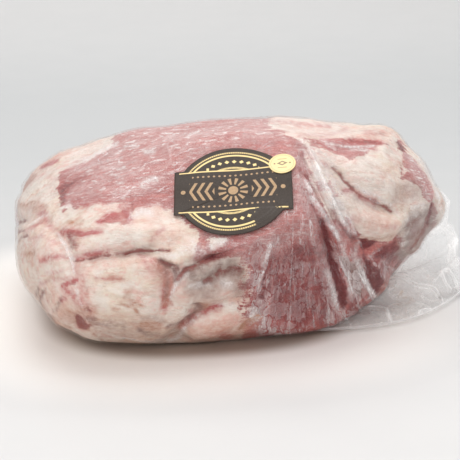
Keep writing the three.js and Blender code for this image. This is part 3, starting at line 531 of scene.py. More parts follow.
STROKES = {   # for each shade: how strong it is, how wide, and its route
    "pink": [   # soft red lines in the fat
        (1.0, 2.2, [(40, 163), (50, 158.5), (60, 154), (70, 151)]),
        (1.0, 3.0, [(40, 212), (46, 220)]),
        (0.9, 3.2, [(79, 290), (81, 298), (82, 305)]),
    ],
    "grey": [   # painted shade along folds, in grey
        (0.4, 3.0, [(120, 256), (140, 252), (152, 244)]),
        (1.0, 2.4, [(353, 268), (357, 280), (361, 292)]),
    ],
    "tan": [   # thin brownish lines on the fat, and painted shade along its lower rim
        (0.6, 1.3, [(20, 204), (28, 202), (38, 202), (45, 205)]),
        (0.5, 1.4, [(34, 288), (38, 298), (44, 311)]),
        (0.45, 1.6, [(24, 258), (30, 252), (36, 250)]),
        (0.7, 1.2, [(19, 191), (26, 181), (34, 173)]),
        (0.9, 1.2, [(37, 309), (43, 316), (51, 319)]),
        (0.8, 1.2, [(53, 321), (59, 326), (70, 331)]),
        (0.8, 1.2, [(87, 330), (94, 337), (102, 342)]),
        (0.9, 1.2, [(125, 300), (133, 303), (141, 307)]),
        (1.0, 1.2, [(135, 311), (138, 316)]),
        (0.45, 1.6, [(380, 182), (386, 172), (396, 166), (404, 162)]),
        (0.45, 1.2, [(48, 278), (58, 277)]),
        (0.4, 1.4, [(110, 279), (122, 280)]),
        (0.7, 1.2, [(243, 330), (253, 324), (263, 317)]),
        (0.5, 1.4, [(99, 335), (108, 336)]),
        (1.1, 2.6, [(198, 305), (206, 307), (196, 315)]),
        (1.2, 1.5, [(240, 330), (250, 322), (260, 317)]),
        (1.0, 1.3, [(22, 204), (30, 201), (37, 201)]),
        (0.9, 2.4, [(31, 205), (34, 207)]),
        (1.1, 1.6, [(69, 221), (72, 221)]),
        (0.8, 2.4, [(25, 254), (31, 254)]),
        (1.0, 1.4, [(53, 321), (58, 327), (63, 330)]),
        (0.9, 1.2, [(112, 310), (118, 310)]),
        (0.8, 1.2, [(120, 305), (128, 308), (132, 306)]),
        (0.9, 1.3, [(433, 238), (421, 256), (404, 272), (392, 290)]),
    ],
    "brown": [   # painted shade along the folds
        (0.7, 1.5, [(139, 332), (146, 336), (158, 335.5)]),
        (0.3, 1.8, [(142, 320), (152, 318.5), (162, 322)]),
        (0.6, 1.4, [(53, 312), (56, 308), (60, 300)]),
        (1.3, 2.2, [(161, 261), (168, 266), (177, 270)]),
        (1.2, 1.8, [(175, 271), (176, 282)]),
        (1.5, 2.4, [(179, 280), (186, 272), (196, 267), (204, 262), (213, 258)]),
        (1.4, 2.4, [(206, 284), (216, 279), (221, 273), (234, 271), (241, 272)]),
        (0.6, 3.0, [(196, 261), (210, 256), (226, 252)]),
        (0.8, 1.6, [(183, 327), (190, 321), (198, 317)]),
        (1.0, 1.7, [(169, 328), (180, 326)]),
        (1.1, 1.4, [(334, 165), (340.5, 171), (347, 180), (354, 188)]),
        (0.9, 1.5, [(374, 201), (386, 207), (394, 212)]),
        (0.7, 1.3, [(34, 298), (36, 290)]),
        (0.9, 1.3, [(38, 303), (41, 293)]),
        (0.8, 1.2, [(38, 305), (42, 313), (51, 319)]),
        (0.9, 1.6, [(84, 322), (94, 322)]),
        (0.6, 2.4, [(92, 325), (108, 326), (124, 329)]),
        (0.6, 1.6, [(165, 270), (168, 280), (166, 296)]),
    ],
    "blood": [   # red streaks
        (1.5, 1.3, [(41, 165.5), (49, 162.5), (56, 160)]),
        (0.5, 1.4, [(22, 230), (32, 226), (40, 220), (46, 212)]),
        (0.55, 2.2, [(40, 206), (44, 216), (50, 226), (58, 232)]),
        (0.4, 1.4, [(26, 238), (40, 236), (52, 241)]),
        (0.4, 1.4, [(44, 274), (52, 273), (62, 272)]),
        (0.4, 1.4, [(52, 280), (62, 279), (71, 278)]),
        (0.6, 2.6, [(64, 290), (70, 294), (75, 299)]),
        (0.55, 3.0, [(76, 300), (84, 308), (90, 315)]),
        (0.4, 3.4, [(72, 264), (78, 278), (82, 294)]),
        (0.6, 1.5, [(64, 203), (80, 203.5), (98, 202), (110, 201)]),
        (0.8, 1.5, [(80, 202), (88, 202)]),
        (0.55, 1.5, [(60, 171), (74, 164), (88, 160), (104, 156)]),
        (0.4, 1.4, [(74, 160), (90, 155), (104, 151)]),
        (0.35, 1.3, [(46, 176), (56, 177)]),
        (0.45, 1.4, [(40, 262), (60, 257), (72, 257)]),
        (0.35, 2.4, [(80, 282), (82, 300), (84, 316)]),
        (0.35, 1.6, [(96, 280), (122, 280)]),
        (0.5, 1.4, [(40, 208), (36, 214)]),
        (0.4, 1.6, [(44, 220), (52, 230), (60, 232)]),
        (0.4, 2.8, [(146, 262), (152, 270), (162, 276)]),
        (0.55, 1.6, [(138, 254), (150, 258), (154, 266)]),
        (0.5, 1.5, [(150, 240), (156, 232), (163, 227)]),
        (0.55, 1.4, [(191, 313), (204, 311), (216, 307)]),
        (0.45, 1.5, [(172, 292), (178, 286), (186, 282)]),
        (0.5, 1.4, [(262, 118), (300, 122), (330, 124)]),
        (0.45, 1.3, [(290, 119), (300, 124)]),
        (0.4, 1.4, [(300, 134), (330, 133), (346, 128)]),
        (0.4, 1.8, [(366, 131), (384, 132)]),
        (0.4, 1.6, [(384, 226), (398, 228)]),
        (0.4, 1.8, [(352, 219), (360, 221)]),
        (0.6, 1.5, [(305, 145), (309, 152), (314, 158)]),
        (0.6, 1.6, [(322, 160), (328, 164)]),
        (0.5, 1.6, [(293, 176), (302, 181)]),
        (0.6, 1.6, [(296, 186), (305, 188)]),
        (0.9, 2.6, [(76, 258), (88, 254), (100, 252), (106, 251)]),
        (1.1, 3.4, [(198, 258), (214, 254), (232, 247), (250, 242)]),
        (1.4, 2.0, [(181, 330), (190, 321), (198, 317), (210, 312), (221, 309)]),
        (0.7, 3.0, [(222, 338), (229, 338)]),
        (1.1, 2.4, [(353, 189), (363, 196), (375, 202)]),
        (0.9, 2.0, [(346, 190), (354, 189), (360, 194)]),
        (1.2, 1.6, [(350, 137), (362, 139), (381, 141)]),
        (1.1, 2.0, [(330, 140), (346, 142), (375, 147)]),
        (1.0, 1.4, [(336, 147), (350, 151), (364, 150)]),
        (0.6, 1.3, [(20, 188), (27, 181), (33, 174)]),
        (0.9, 1.3, [(62, 170), (75, 165), (90, 161.5), (105, 158)]),
        (1.2, 2.2, [(83, 203), (86, 203)]),
        (1.0, 1.4, [(38, 214), (42, 210)]),
        (1.1, 2.2, [(99, 221), (106, 216), (112, 213.5), (117, 214)]),
        (1.0, 2.4, [(122, 205), (126, 212), (130, 220)]),
        (1.1, 1.8, [(80, 235), (90, 232), (100, 230)]),
        (0.9, 2.6, [(62, 231), (70, 231), (80, 233)]),
        (0.8, 1.4, [(40, 262), (48, 257), (60, 255), (70, 258)]),
        (0.7, 1.3, [(96, 280), (110, 279), (120, 280)]),
        (0.6, 1.3, [(38, 285), (46, 281)]),
        (1.3, 1.4, [(62, 287), (68, 283), (76, 281)]),
        (0.8, 2.2, [(66, 293), (71, 292), (74, 296)]),
        (1.0, 1.4, [(60, 303), (64, 300)]),
        (1.3, 1.3, [(322, 137), (334, 140.5), (350, 142), (376, 141.5)]),
        (1.3, 1.3, [(330, 146), (344, 149), (354, 152)]),
        (1.5, 1.8, [(412, 161), (419, 168), (426, 179), (432, 193)]),
        (1.2, 1.6, [(172, 284), (169, 298), (164, 311)]),
    ],
    "dark": [   # painted shade and blood in creases that the relief leaves out
        (0.7, 1.5, [(60, 201), (59.5, 193), (62, 186), (66, 183), (72, 181)]),
        (0.55, 1.3, [(72, 181), (80, 176), (86, 173)]),
        (0.65, 3.0, [(68, 234), (72, 246)]),
        (0.8, 1.5, [(86, 311), (89, 314)]),
        (1.6, 2.0, [(78, 319), (80, 326)]),
        (1.4, 1.4, [(78, 327), (89, 328.5)]),
        (0.9, 1.6, [(398, 141), (404, 149)]),
        (0.8, 1.3, [(412, 250), (420, 240), (427, 229), (430, 218)]),
        (0.9, 2.2, [(192, 270), (201, 264), (213, 260), (226, 256)]),
        (0.6, 1.8, [(304, 143), (309, 151), (314, 160)]),
        (0.6, 2.0, [(299, 166), (308, 176), (318, 192), (322, 202)]),
        (0.7, 1.8, [(320, 206), (327, 213), (331, 222)]),
        (0.7, 2.0, [(335, 210), (341, 222), (350, 234), (357, 240)]),
    ],
    "frost_and_highlight": [   # white dashes of ice, frost along the pleats, and painted highlights on ridges and the film's lower edge
        (0.85, 1.2, [(188, 276), (180, 280), (174, 288), (171, 298)]),
        (0.7, 1.2, [(190, 287), (200, 285), (211, 287)]),
        (0.8, 1.4, [(221, 308), (231, 306)]),
        (0.8, 1.3, [(168, 343), (177, 340), (184, 333)]),
        (0.9, 1.2, [(338, 144), (352, 145.5), (374, 144)]),
        (0.8, 1.2, [(352, 148), (368, 148.5)]),
        (0.8, 1.2, [(326, 141), (336, 143)]),
        (0.8, 1.6, [(358, 186), (370, 192), (382, 198), (392, 205)]),
        (0.8, 1.8, [(302, 139), (312, 149), (322, 164)]),
        (0.75, 2.0, [(309, 162), (318, 176), (326, 190)]),
        (0.8, 1.8, [(312, 196), (322, 209), (334, 226), (340, 238)]),
        (0.7, 2.2, [(328, 198), (337, 209), (346, 223), (355, 235)]),
        (0.9, 2.4, [(360, 264), (364, 278), (371, 290), (378, 298)]),
        (0.8, 2.6, [(327, 271), (331, 284), (335, 300)]),
        (0.9, 1.6, [(420, 158), (428, 168), (435, 182), (440, 198)]),
        (0.8, 1.8, [(414, 208), (425, 204)]),
        (0.8, 2.2, [(409, 221), (418, 214)]),
        (0.7, 2.2, [(406, 236), (418, 229), (424, 219)]),
        (0.7, 1.6, [(404, 246), (414, 241)]),
        (0.8, 1.2, [(57, 232), (62, 240), (68, 247), (71, 255), (73, 262)]),
        (0.95, 2.0, [(84, 158), (98, 151), (116, 142)]),
        (0.9, 1.3, [(124, 144), (131, 145), (138, 144)]),
        (0.7, 1.3, [(100, 166), (112, 166)]),
        (0.9, 1.3, [(117, 168), (124, 166)]),
        (0.8, 1.3, [(111, 173), (118, 173)]),
        (0.8, 1.3, [(117, 181), (123, 181)]),
        (0.9, 3.2, [(143, 183), (149, 179), (156, 178)]),
        (0.9, 2.4, [(145, 150), (152, 150)]),
        (0.8, 1.6, [(61, 206), (70, 204)]),
        (0.85, 3.0, [(134, 214), (142, 210), (150, 212)]),
        (0.8, 3.4, [(210, 246), (218, 242), (224, 240)]),
        (0.7, 2.0, [(192, 240), (196, 246), (204, 252)]),
        (0.9, 2.6, [(223, 284), (230, 286)]),
        (0.6, 5.0, [(182, 250), (192, 246), (198, 252)]),
        (0.9, 1.6, [(252, 318), (256, 312)]),
        (0.6, 3.0, [(160, 250), (174, 256)]),
        (0.7, 1.8, [(224, 309), (236, 306)]),
        (0.6, 1.6, [(196, 287), (206, 286)]),
        (0.6, 1.3, [(76, 170), (96, 162), (122, 156)]),
        (0.5, 1.3, [(110, 190), (122, 189)]),
        (0.5, 1.3, [(164, 172), (172, 171)]),
        (0.6, 1.4, [(242, 128), (262, 130)]),
        (0.85, 1.6, [(270, 246), (268, 256), (265, 268)]),
        (0.7, 1.2, [(262, 282), (259, 292)]),
        (0.7, 2.0, [(326, 270), (330, 284), (335, 300), (338, 309)]),
        (0.7, 1.7, [(361, 268), (366, 282), (373, 293)]),
        (0.65, 2.2, [(349, 282), (352, 292), (353, 300)]),
        (0.6, 1.9, [(312, 238), (316, 248), (318, 256)]),
        (0.6, 1.3, [(297, 268), (306, 266), (318, 264)]),
        (0.7, 2.0, [(318, 264), (330, 261)]),
        (0.5, 1.2, [(290, 234), (302, 233), (314, 234)]),
        (0.6, 1.4, [(322, 248), (328, 251)]),
        (0.5, 1.4, [(330, 310), (328, 324)]),
        (0.5, 2.2, [(344, 244), (346, 262)]),
        (0.55, 1.6, [(358, 246), (356, 262)]),
        (0.5, 1.4, [(304, 140), (309, 150), (316, 163)]),
        (0.45, 1.8, [(318, 168), (322, 176)]),
    ],
}
print(len(CREASES), "creases,", sum(map(len, STROKES.values())), "strokes")

# %% Pleats of the film: strength, width, height and route
PLEATS = [
    (0.8, 1.4, 1.3, [(303, 142), (311, 156), (322, 178), (332, 200), (346, 228), (357, 250)]),
    (0.85, 1.5, 1.4, [(300, 170), (309, 190), (320, 208), (331, 227), (342, 243)]),
    (0.7, 1.3, 1.0, [(318, 204), (328, 220), (338, 240), (346, 262)]),
    (0.6, 1.2, 0.9, [(340, 206), (350, 222), (358, 240), (362, 252)]),
    (0.85, 1.4, 1.2, [(272, 236), (270, 248), (266, 262), (260, 280)]),
    (0.6, 1.2, 0.8, [(262, 282), (258, 296)]),
    (0.5, 1.2, 0.8, [(280, 232), (276, 244), (271, 252)]),
    (0.75, 1.8, 1.5, [(325, 262), (330, 280), (335, 300), (340, 312)]),
    (0.4, 1.6, 1.0, [(337, 250), (342, 270), (348, 292)]),
    (0.8, 1.7, 1.5, [(359, 264), (365, 280), (372, 291), (380, 300)]),
    (0.5, 1.2, 0.8, [(328, 302), (328, 316), (329, 326)]),
    (0.6, 1.2, 0.8, [(355, 290), (360, 304)]),
    (0.8, 1.3, 1.1, [(358, 190), (372, 199), (392, 207)]),
    (0.7, 1.3, 1.0, [(57, 234), (66, 246), (73, 262), (76, 280)]),
    (0.5, 1.2, 0.8, [(76, 280), (80, 300), (85, 313)]),
    (0.6, 1.2, 0.7, [(14, 244), (18, 220), (15, 202), (20, 188), (34, 170)]),
    (0.5, 1.2, 0.6, [(26, 226), (40, 219), (52, 214)]),
    (0.45, 1.2, 0.6, [(133, 206), (131, 216), (128, 224)]),
    (0.5, 1.2, 0.7, [(172, 294), (176, 284), (184, 277)]),
    (0.5, 1.2, 0.6, [(30, 300), (36, 308), (44, 318)]),
    (0.6, 1.2, 0.8, [(205, 306), (190, 322), (178, 336)]),
    (0.6, 1.2, 0.9, [(362, 262), (372, 254), (385, 243)]),
    (0.55, 1.2, 0.8, [(386, 262), (390, 268), (396, 272)]),
    (0.4, 1.2, 0.6, [(300, 208), (302, 222), (298, 236)]),
    (0.5, 1.2, 0.6, [(420, 160), (430, 176), (438, 196), (441, 215), (436, 234)]),
    (0.4, 1.2, 0.5, [(160, 132), (170, 150), (172, 168)]),
    (0.35, 1.2, 0.5, [(100, 170), (104, 184), (106, 196)]),
    (0.4, 1.2, 0.5, [(244, 330), (252, 322), (264, 316), (272, 312)]),
    (0.5, 1.2, 0.6, [(96, 330), (120, 338), (150, 341), (176, 338)]),
]
FAR_PLEATS = [   # on the far sheet, in millimetres
    (0.6, 1.3, 1.0, [(-118, 24), (-104, 4), (-96, -22), (-92, -44)]),
    (0.5, 1.2, 0.8, [(-60, 42), (-52, 20), (-50, -4)]),
    (0.6, 1.3, 1.0, [(-30, 10), (-18, -16), (-12, -44), (-10, -62)]),
    (0.5, 1.2, 0.9, [(10, 32), (16, 6), (26, -16)]),
    (0.6, 1.3, 1.0, [(62, 26), (72, 0), (88, -22), (110, -40)]),
    (0.5, 1.2, 0.8, [(86, 40), (100, 18), (118, 0)]),
    (0.5, 1.2, 0.8, [(34, -50), (50, -60), (72, -64)]),
    (0.5, 1.2, 0.8, [(122, -8), (116, -28), (102, -48)]),
    (0.5, 1.2, 0.8, [(-128, 10), (-120, -14), (-112, -34)]),
]
print(len(PLEATS) + len(FAR_PLEATS), "pleats")

# %% [markdown]
# ## Painting by distance
# A patch needs to know how far a point is inside its outline, and a stroke how far it is from its
# route. From these distances come masks between 0 and 1. They are kept on the mesh, one number
# for each point, and the materials read them there.

# %% Masks from outlines and strokes
SHADE_NAMES = ("fat", "pink", "grey", "brown", "tan", "blood", "dark", "plates", "frosty", "frost_and_highlight")
COARSE_NOISE, COARSE_BEND = 6, 3.6                # size of the blobs, and how far they bend an edge
FINE_NOISE, FINE_BEND = (3.6, 1.8, 1.8), 2.2
STROKE_BEND = 0.3


def depth_inside(spots, outline):
    """How far each spot lies inside a closed outline, below zero outside."""
    gap, _ = route_distance(spots, outline + outline[:1])
    crossings = np.zeros(len(spots), int)
    x, y = spots.T
    for (ax, ay), (bx, by) in zip(outline, outline[1:] + outline[:1]):
        between = (ay > y) != (by > y)
        crossings += between & (x < ax + (y - ay) * (bx - ax) / (by - ay if by != ay else 1))
    return np.where(crossings % 2 == 1, gap, -gap)


def painted(spots, points, with_creases=True):
    """All masks of one sheet. An outline is bent by all of the noise, a stroke by a share of it."""
    rough = np.stack([cloud(points, COARSE_NOISE, seed) - 0.5 for seed in (11, 12)], -1) * COARSE_BEND
    rough += np.stack([cloud(points, FINE_NOISE, seed) - 0.5 for seed in (13, 14)], -1) * FINE_BEND
    bent = spots + rough
    nearly = spots + STROKE_BEND * rough
    masks = {name: np.zeros(len(spots)) for name in SHADE_NAMES}
    for fatness, edge, outline in GROUND:
        inside = smooth(depth_inside(bent, seen(outline)), -edge, edge)
        masks["fat"] = masks["fat"] * (1 - inside) + fatness * inside
    for name, patches in SHADES.items():
        for strength, edge, outline in patches:
            inside = strength * smooth(depth_inside(bent, seen(outline)), -edge, edge)
            masks[name] = np.maximum(masks[name], inside)
    for name, strokes in STROKES.items():
        for strength, width, route in strokes:
            near = strength * np.exp(-(route_distance(nearly, seen(route))[0] / width) ** 2)
            masks[name] = np.maximum(masks[name], near)
    if with_creases:
        for strength, width, _, route in CREASES:
            near = strength * np.exp(-(route_distance(nearly, seen(route))[0] / width) ** 2)
            masks["dark"] = np.maximum(masks["dark"], near)
    return masks


# %% [markdown]
# ## The way the fibres and pleats run
# On the left and along the top everything runs along the pack. On the lower right the pleats
# fan out from one point under the badge's right end, where the film was caught. So two sets of
# places are kept on the mesh for the materials: the sheet itself, and a fan about that point.

# %% Places on the sheet and in the fan
FAN_APEX = seen([(297, 126)])[0]
FAN_RADIUS = 90.0
TOP_ARCH = 0.0014     # the fibres near the top follow the arch of the outline


def arched_places(spots):
    """Places on the sheet, bent so that a streak near the top follows the arch."""
    across, up = spots.T
    return np.stack([across, up + TOP_ARCH * across ** 2 * smooth(up, -10, 50)], -1)


def fan_places(spots):
    """Millimetres of arc at the fan's usual radius, and millimetres away from its apex."""
    across, up = (spots - FAN_APEX).T
    return np.stack([FAN_RADIUS * np.arctan2(across, -up), np.hypot(across, up)], -1)


# %% [markdown]
# ## The meat
# The meat stands just under the film. Lean has long fibres, fat is lumpy, and both sink a little
# deeper into each crease than the film does. All of this is moved along the normal of the plain
# form, so nothing folds over itself.

# %% The meat's surface
MEAT_INSET = 0.9       # how far under the film it lies
FAR_BEND = 26          # the far side's map is bent by up to half of this
RIM_BEND = 30          # and so is the rim of both, which no sheet sees well
SEEN_FROM, SEEN_TO = -0.22, 0.02
RIM_MIDDLE, RIM_WIDTH = -0.1, 0.1
FOLD_SHARE = 0.72      # film and meat take this share of the CAD model's fold depths
CREASE_HALF = 2.1      # no crease is narrower than the mesh can carry
CREASE_SHARE = 0.8     # the meat sinks by this share of a crease's depth
FAR_CREASE_HALF = 0.5  # half width of the painted shade line in a far fold, as a share of its width
FAR_CREASE_DARK, FAR_CREASE_FAINTEST, FAR_CREASE_DEPTH = 0.6, 0.35, 1.5
LUMPS = ((11, 1.6, 31), (5, 0.9, 32))     # size, height and seed of the lumps of fat
DIMPLE_SIZE, DIMPLE_DEPTH, DIMPLE_LEVEL = (9, 5, 5), 0.5, 0.3     # and of the folds in its skin
FIBRE_SIZE, FIBRE_HEIGHT = (26, 4, 4), 0.6
FAN_WAVE_SIZE, FAN_WAVE_HEIGHT = (4.6, 38, 20), 1.3
MEAT_SETTLED = 0.35    # the lumps and fibres stand half above and half below this depth
INTO_SHEET = 0.6       # the noise changes this much for each millimetre into the sheet

film_height = relief(plain, plain_normals, FOLD_SHARE)
shaped = plain + plain_normals * film_height[:, None]
towards_eye = plain_normals @ SHOWN[0]
shown_share = smooth(towards_eye, SEEN_FROM, SEEN_TO)
shown_spots = on_sheet(shaped, SHOWN)
far_spots = on_sheet(shaped, FAR) * (-1, 1)
side_spots = np.where(shown_share[:, None] > 0.5, shown_spots, far_spots)
rim = np.exp(-((towards_eye - RIM_MIDDLE) / RIM_WIDTH) ** 2)
rim_bend = np.stack([cloud(shaped, 17, seed) - 0.5 for seed in (23, 24)], -1) * (RIM_BEND * rim)[:, None]
far_bend = np.stack([cloud(shaped, 38, seed) - 0.5 for seed in (21, 22)], -1) * FAR_BEND

shown_masks = painted(shown_spots + rim_bend, shaped)
far_masks = painted(far_spots + far_bend + rim_bend, shaped, with_creases=False)
# Each far fold gets a dark line, broken by noise: painted shade in the fold.
broken = smooth(cloud(shaped, 6, 25), 0.25, 0.6)
for route, width, depth in FAR_FOLDS:
    gap, _ = route_distance(on_sheet(shaped, FAR), route)
    line = FAR_CREASE_DARK * np.exp(-(gap / (FAR_CREASE_HALF * width)) ** 2) * (
        FAR_CREASE_FAINTEST + (1 - FAR_CREASE_FAINTEST) * broken)
    far_masks["dark"] = np.maximum(far_masks["dark"], line)
masks = {name: shown_share * shown_masks[name] + (1 - shown_share) * far_masks[name]
         for name in SHADE_NAMES}
masks["sheet_place"] = np.column_stack([arched_places(side_spots), shaped[:, 1] * INTO_SHEET])
masks["fan_place"] = np.column_stack([fan_places(side_spots), shaped[:, 1] * INTO_SHEET])

crease_depth = np.zeros(len(shaped))
for _, width, depth, route in CREASES:
    gap, _ = route_distance(shown_spots, seen(route))
    half = max(1.3 * width, CREASE_HALF)
    crease_depth = np.maximum(crease_depth, CREASE_SHARE * depth * np.exp(-(gap / half) ** 2))
crease_depth *= shown_share
crease_depth += (1 - shown_share) * FAR_CREASE_DEPTH * far_masks["dark"]

# Lumps of fat and the bed of fibres lift the film too, as it is sucked onto them.
off_floor = smooth(plain[:, 2], 1, FLOOR_FADE)
lumps = sum((cloud(shaped, size, seed) - 0.5) * height for size, height, seed in LUMPS)
fan_wave = cloud(masks["fan_place"] / FAN_WAVE_SIZE, 1, 34) - 0.5
fibres = (cloud(shaped, FIBRE_SIZE, 33) - 0.5) * FIBRE_HEIGHT + masks["plates"] * fan_wave * FAN_WAVE_HEIGHT
body = masks["fat"] * lumps + (1 - masks["fat"]) * fibres
skin = masks["fat"] * (folded_cloud(shaped, DIMPLE_SIZE, 35) ** 3 - DIMPLE_LEVEL) * -DIMPLE_DEPTH
meat_height = body + skin - crease_depth
meat_points = shaped + plain_normals * ((meat_height - MEAT_SETTLED) * off_floor - MEAT_INSET)[:, None]
meat_points[:, 2] = np.maximum(meat_points[:, 2], MEAT_INSET)
print("meat from", meat_points.min(0).round(1), "to", meat_points.max(0).round(1))

# %% [markdown]
# ## From points to a piece
# A piece is a Blender mesh in metres. The flat foot is closed by rings that shrink towards the
# middle, because one huge fan of long thin triangles would spoil the shading there.

# %% Closing the foot and making meshes
def close_foot(points, quads, loop, values):
    """Adds rings of points towards the middle of the foot, with the same masks."""
    rings, faces, above, count = [points], [quads], loop, len(points)
    extra = {name: [value] for name, value in values.items()}
    middle = np.array([0, 0, points[loop, 2].min()])
    for ring in range(1, FOOT_RINGS + 1):
        share = 1 - ring / (FOOT_RINGS + 0.02)
        rings.append(middle + (points[loop] - middle) * (share, share, 1))
        for name in extra:
            extra[name].append(values[name][loop])
        below = count + np.arange(len(loop))
        faces.append(np.stack([above, below, np.roll(below, -1), np.roll(above, -1)], -1))
        above, count = below, count + len(loop)
    return np.concatenate(rings), np.concatenate(faces), above, {
        name: np.concatenate(parts) for name, parts in extra.items()}


def make_piece(name, points, faces, values=()):
    """A smooth mesh in metres, with one number or vector kept for each point and each name."""
    mesh = bpy.data.meshes.new(name)
    mesh.from_pydata((points / 1000).tolist(), [], [list(face) for face in faces])
    for key, value in dict(values).items():
        kind = "FLOAT" if value.ndim == 1 else "FLOAT_VECTOR"
        layer = mesh.attributes.new(key, kind, "POINT")
        layer.data.foreach_set("value" if value.ndim == 1 else "vector", value.astype(np.float32).ravel())
    mesh.update()
    mesh.shade_smooth()
    piece = bpy.data.objects.new(name, mesh)
    bpy.context.scene.collection.objects.link(piece)
    print(name, len(points), "points,", len(faces), "faces")
    return piece


def dressed(piece, node):
    """Hangs a piece on the root body and hides the CAD node that it stands for."""
    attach(piece, "root")
    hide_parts(node)


closed, faces, last_ring, meat_values = close_foot(meat_points, plain_quads, foot, masks)
meat = make_piece("meat", closed, faces.tolist() + [last_ring.tolist()[::-1]], meat_values)
dressed(meat, "sealed_bag")

# %% [markdown]
# ## The film
# The film bridges the creases instead of following them to the bottom, and it stands up in thin
# pleats where the bag was too wide for the meat. A cloth simulation could pleat it, but the
# pleats would then come where they like. Here they are strokes with a height.

# %% The film's surface
CLINGING = 0.75        # the film takes this share of the lumps under it, and less of the creases
FILM_IN_CREASE = 0.35
WAVERING = 1.6         # a pleat strays from its route by up to half of this
PLEAT_RUN_OUT = 0.25
PLEAT_FOOT = 1.15      # a pleat stands on a strip this much wider than its white line
WRINKLE_SIZE, WRINKLE_HEIGHT, WRINKLE_WHITE = (7, 7, 13), 0.35, 0.3

film_extra = np.zeros(len(shaped))
# The pleat mask whitens the film on pleats and wrinkle crests: folded film, with a painted highlight along
# each crest.
pleat_mask = np.zeros(len(shaped))
waver = np.stack([cloud(shaped, 9, seed) - 0.5 for seed in (41, 42)], -1) * WAVERING
for spots, share, pleats in ((shown_spots, shown_share, [(*p[:3], seen(p[3])) for p in PLEATS]),
                             (on_sheet(shaped, FAR), 1 - shown_share, FAR_PLEATS)):
    for strength, width, height, route in pleats:
        gap, along = route_distance(spots + waver, route)
        fading = smooth(along, 0, PLEAT_RUN_OUT) * (1 - smooth(along, 1 - PLEAT_RUN_OUT, 1)) * share
        film_extra = np.maximum(film_extra, height * np.exp(-(gap / (PLEAT_FOOT * width)) ** 2) * fading)
        pleat_mask = np.maximum(pleat_mask, strength * np.exp(-(gap / width) ** 2) * fading)

wrinkles = smooth(folded_cloud(shaped, WRINKLE_SIZE, 47), 0.8, 1)
wrinkles = wrinkles * smooth(cloud(shaped, 24, 48), 0.45, 0.75)
film_extra += WRINKLE_HEIGHT * wrinkles + CLINGING * body - FILM_IN_CREASE * crease_depth
pleat_mask = np.maximum(pleat_mask, WRINKLE_WHITE * wrinkles)
film_points = shaped + plain_normals * (film_extra * off_floor)[:, None]
film_points[:, 2] = np.maximum(film_points[:, 2], 0)

film_values = {"pleat": pleat_mask} | {
    name: masks[name] for name in ("frosty", "plates", "dark", "fat", "fan_place")}
closed, faces, last_ring, film_values = close_foot(film_points, plain_quads, foot, film_values)
film = make_piece("clear_film", closed, faces.tolist() + [last_ring.tolist()[::-1]], film_values)
dressed(film, "sealed_bag")

# %% [markdown]
# ## The spare end of the bag
# To the right the two sheets of the bag run out past the meat, welded together at their end and
# crumpled from handling. It is a wavy sheet between a route inside the pack and one further out,
# with crested noise for the crumples.

# %% The spare end
TAIL_INNER = ((40, -56, 4), (95, 66, 30))
TAIL_OUTER = ((158, -2, 3.2), (168, 92, 44))
TAIL_BULGE, TAIL_BULGE_WAY = 20, (0.35, -0.94)
TAIL_WAVE, TAIL_RAGGED, TAIL_CALM, TAIL_LOWEST = 2.6, 2.2, 0.12, 1.2
TAIL_RIPPLES = ((1.0, 21, 3, 0), (0.6, 34, -7, 1))     # share of the wave, and its angle by s, t and start
TAIL_CELLS = (230, 170)
TAIL_LAYER_GAP = 0.9
CRUMPLE_HEIGHT, FINE_CRUMPLE_HEIGHT, LOWER_CRUMPLE_HEIGHT, CRUMPLE_SINK = 3.4, 1.3, 2.2, 1.2


def tail_points(s, t):
    """The spare end: s runs along its inner edge, and t from there out to the weld."""
    def between(k):
        inner = TAIL_INNER[0][k] + (TAIL_INNER[1][k] - TAIL_INNER[0][k]) * s
        outer = TAIL_OUTER[0][k] + (TAIL_OUTER[1][k] - TAIL_OUTER[0][k]) * s
        return inner + (outer - inner) * t
    bulge = TAIL_BULGE * np.sin(math.pi * t) * (1 - s) ** 1.5
    wave = TAIL_WAVE * sum(part * np.sin(by_s * s + by_t * t + start)
                           for part, by_s, by_t, start in TAIL_RIPPLES)
    growing = (0.3 + 0.7 * t) * smooth(s, 0, TAIL_CALM)
    return np.stack([
        between(0) + bulge * TAIL_BULGE_WAY[0] + TAIL_RAGGED * t * np.sin(17 * s),
        between(1) + bulge * TAIL_BULGE_WAY[1],
        np.maximum(TAIL_LOWEST, between(2) + wave * growing)], -1)


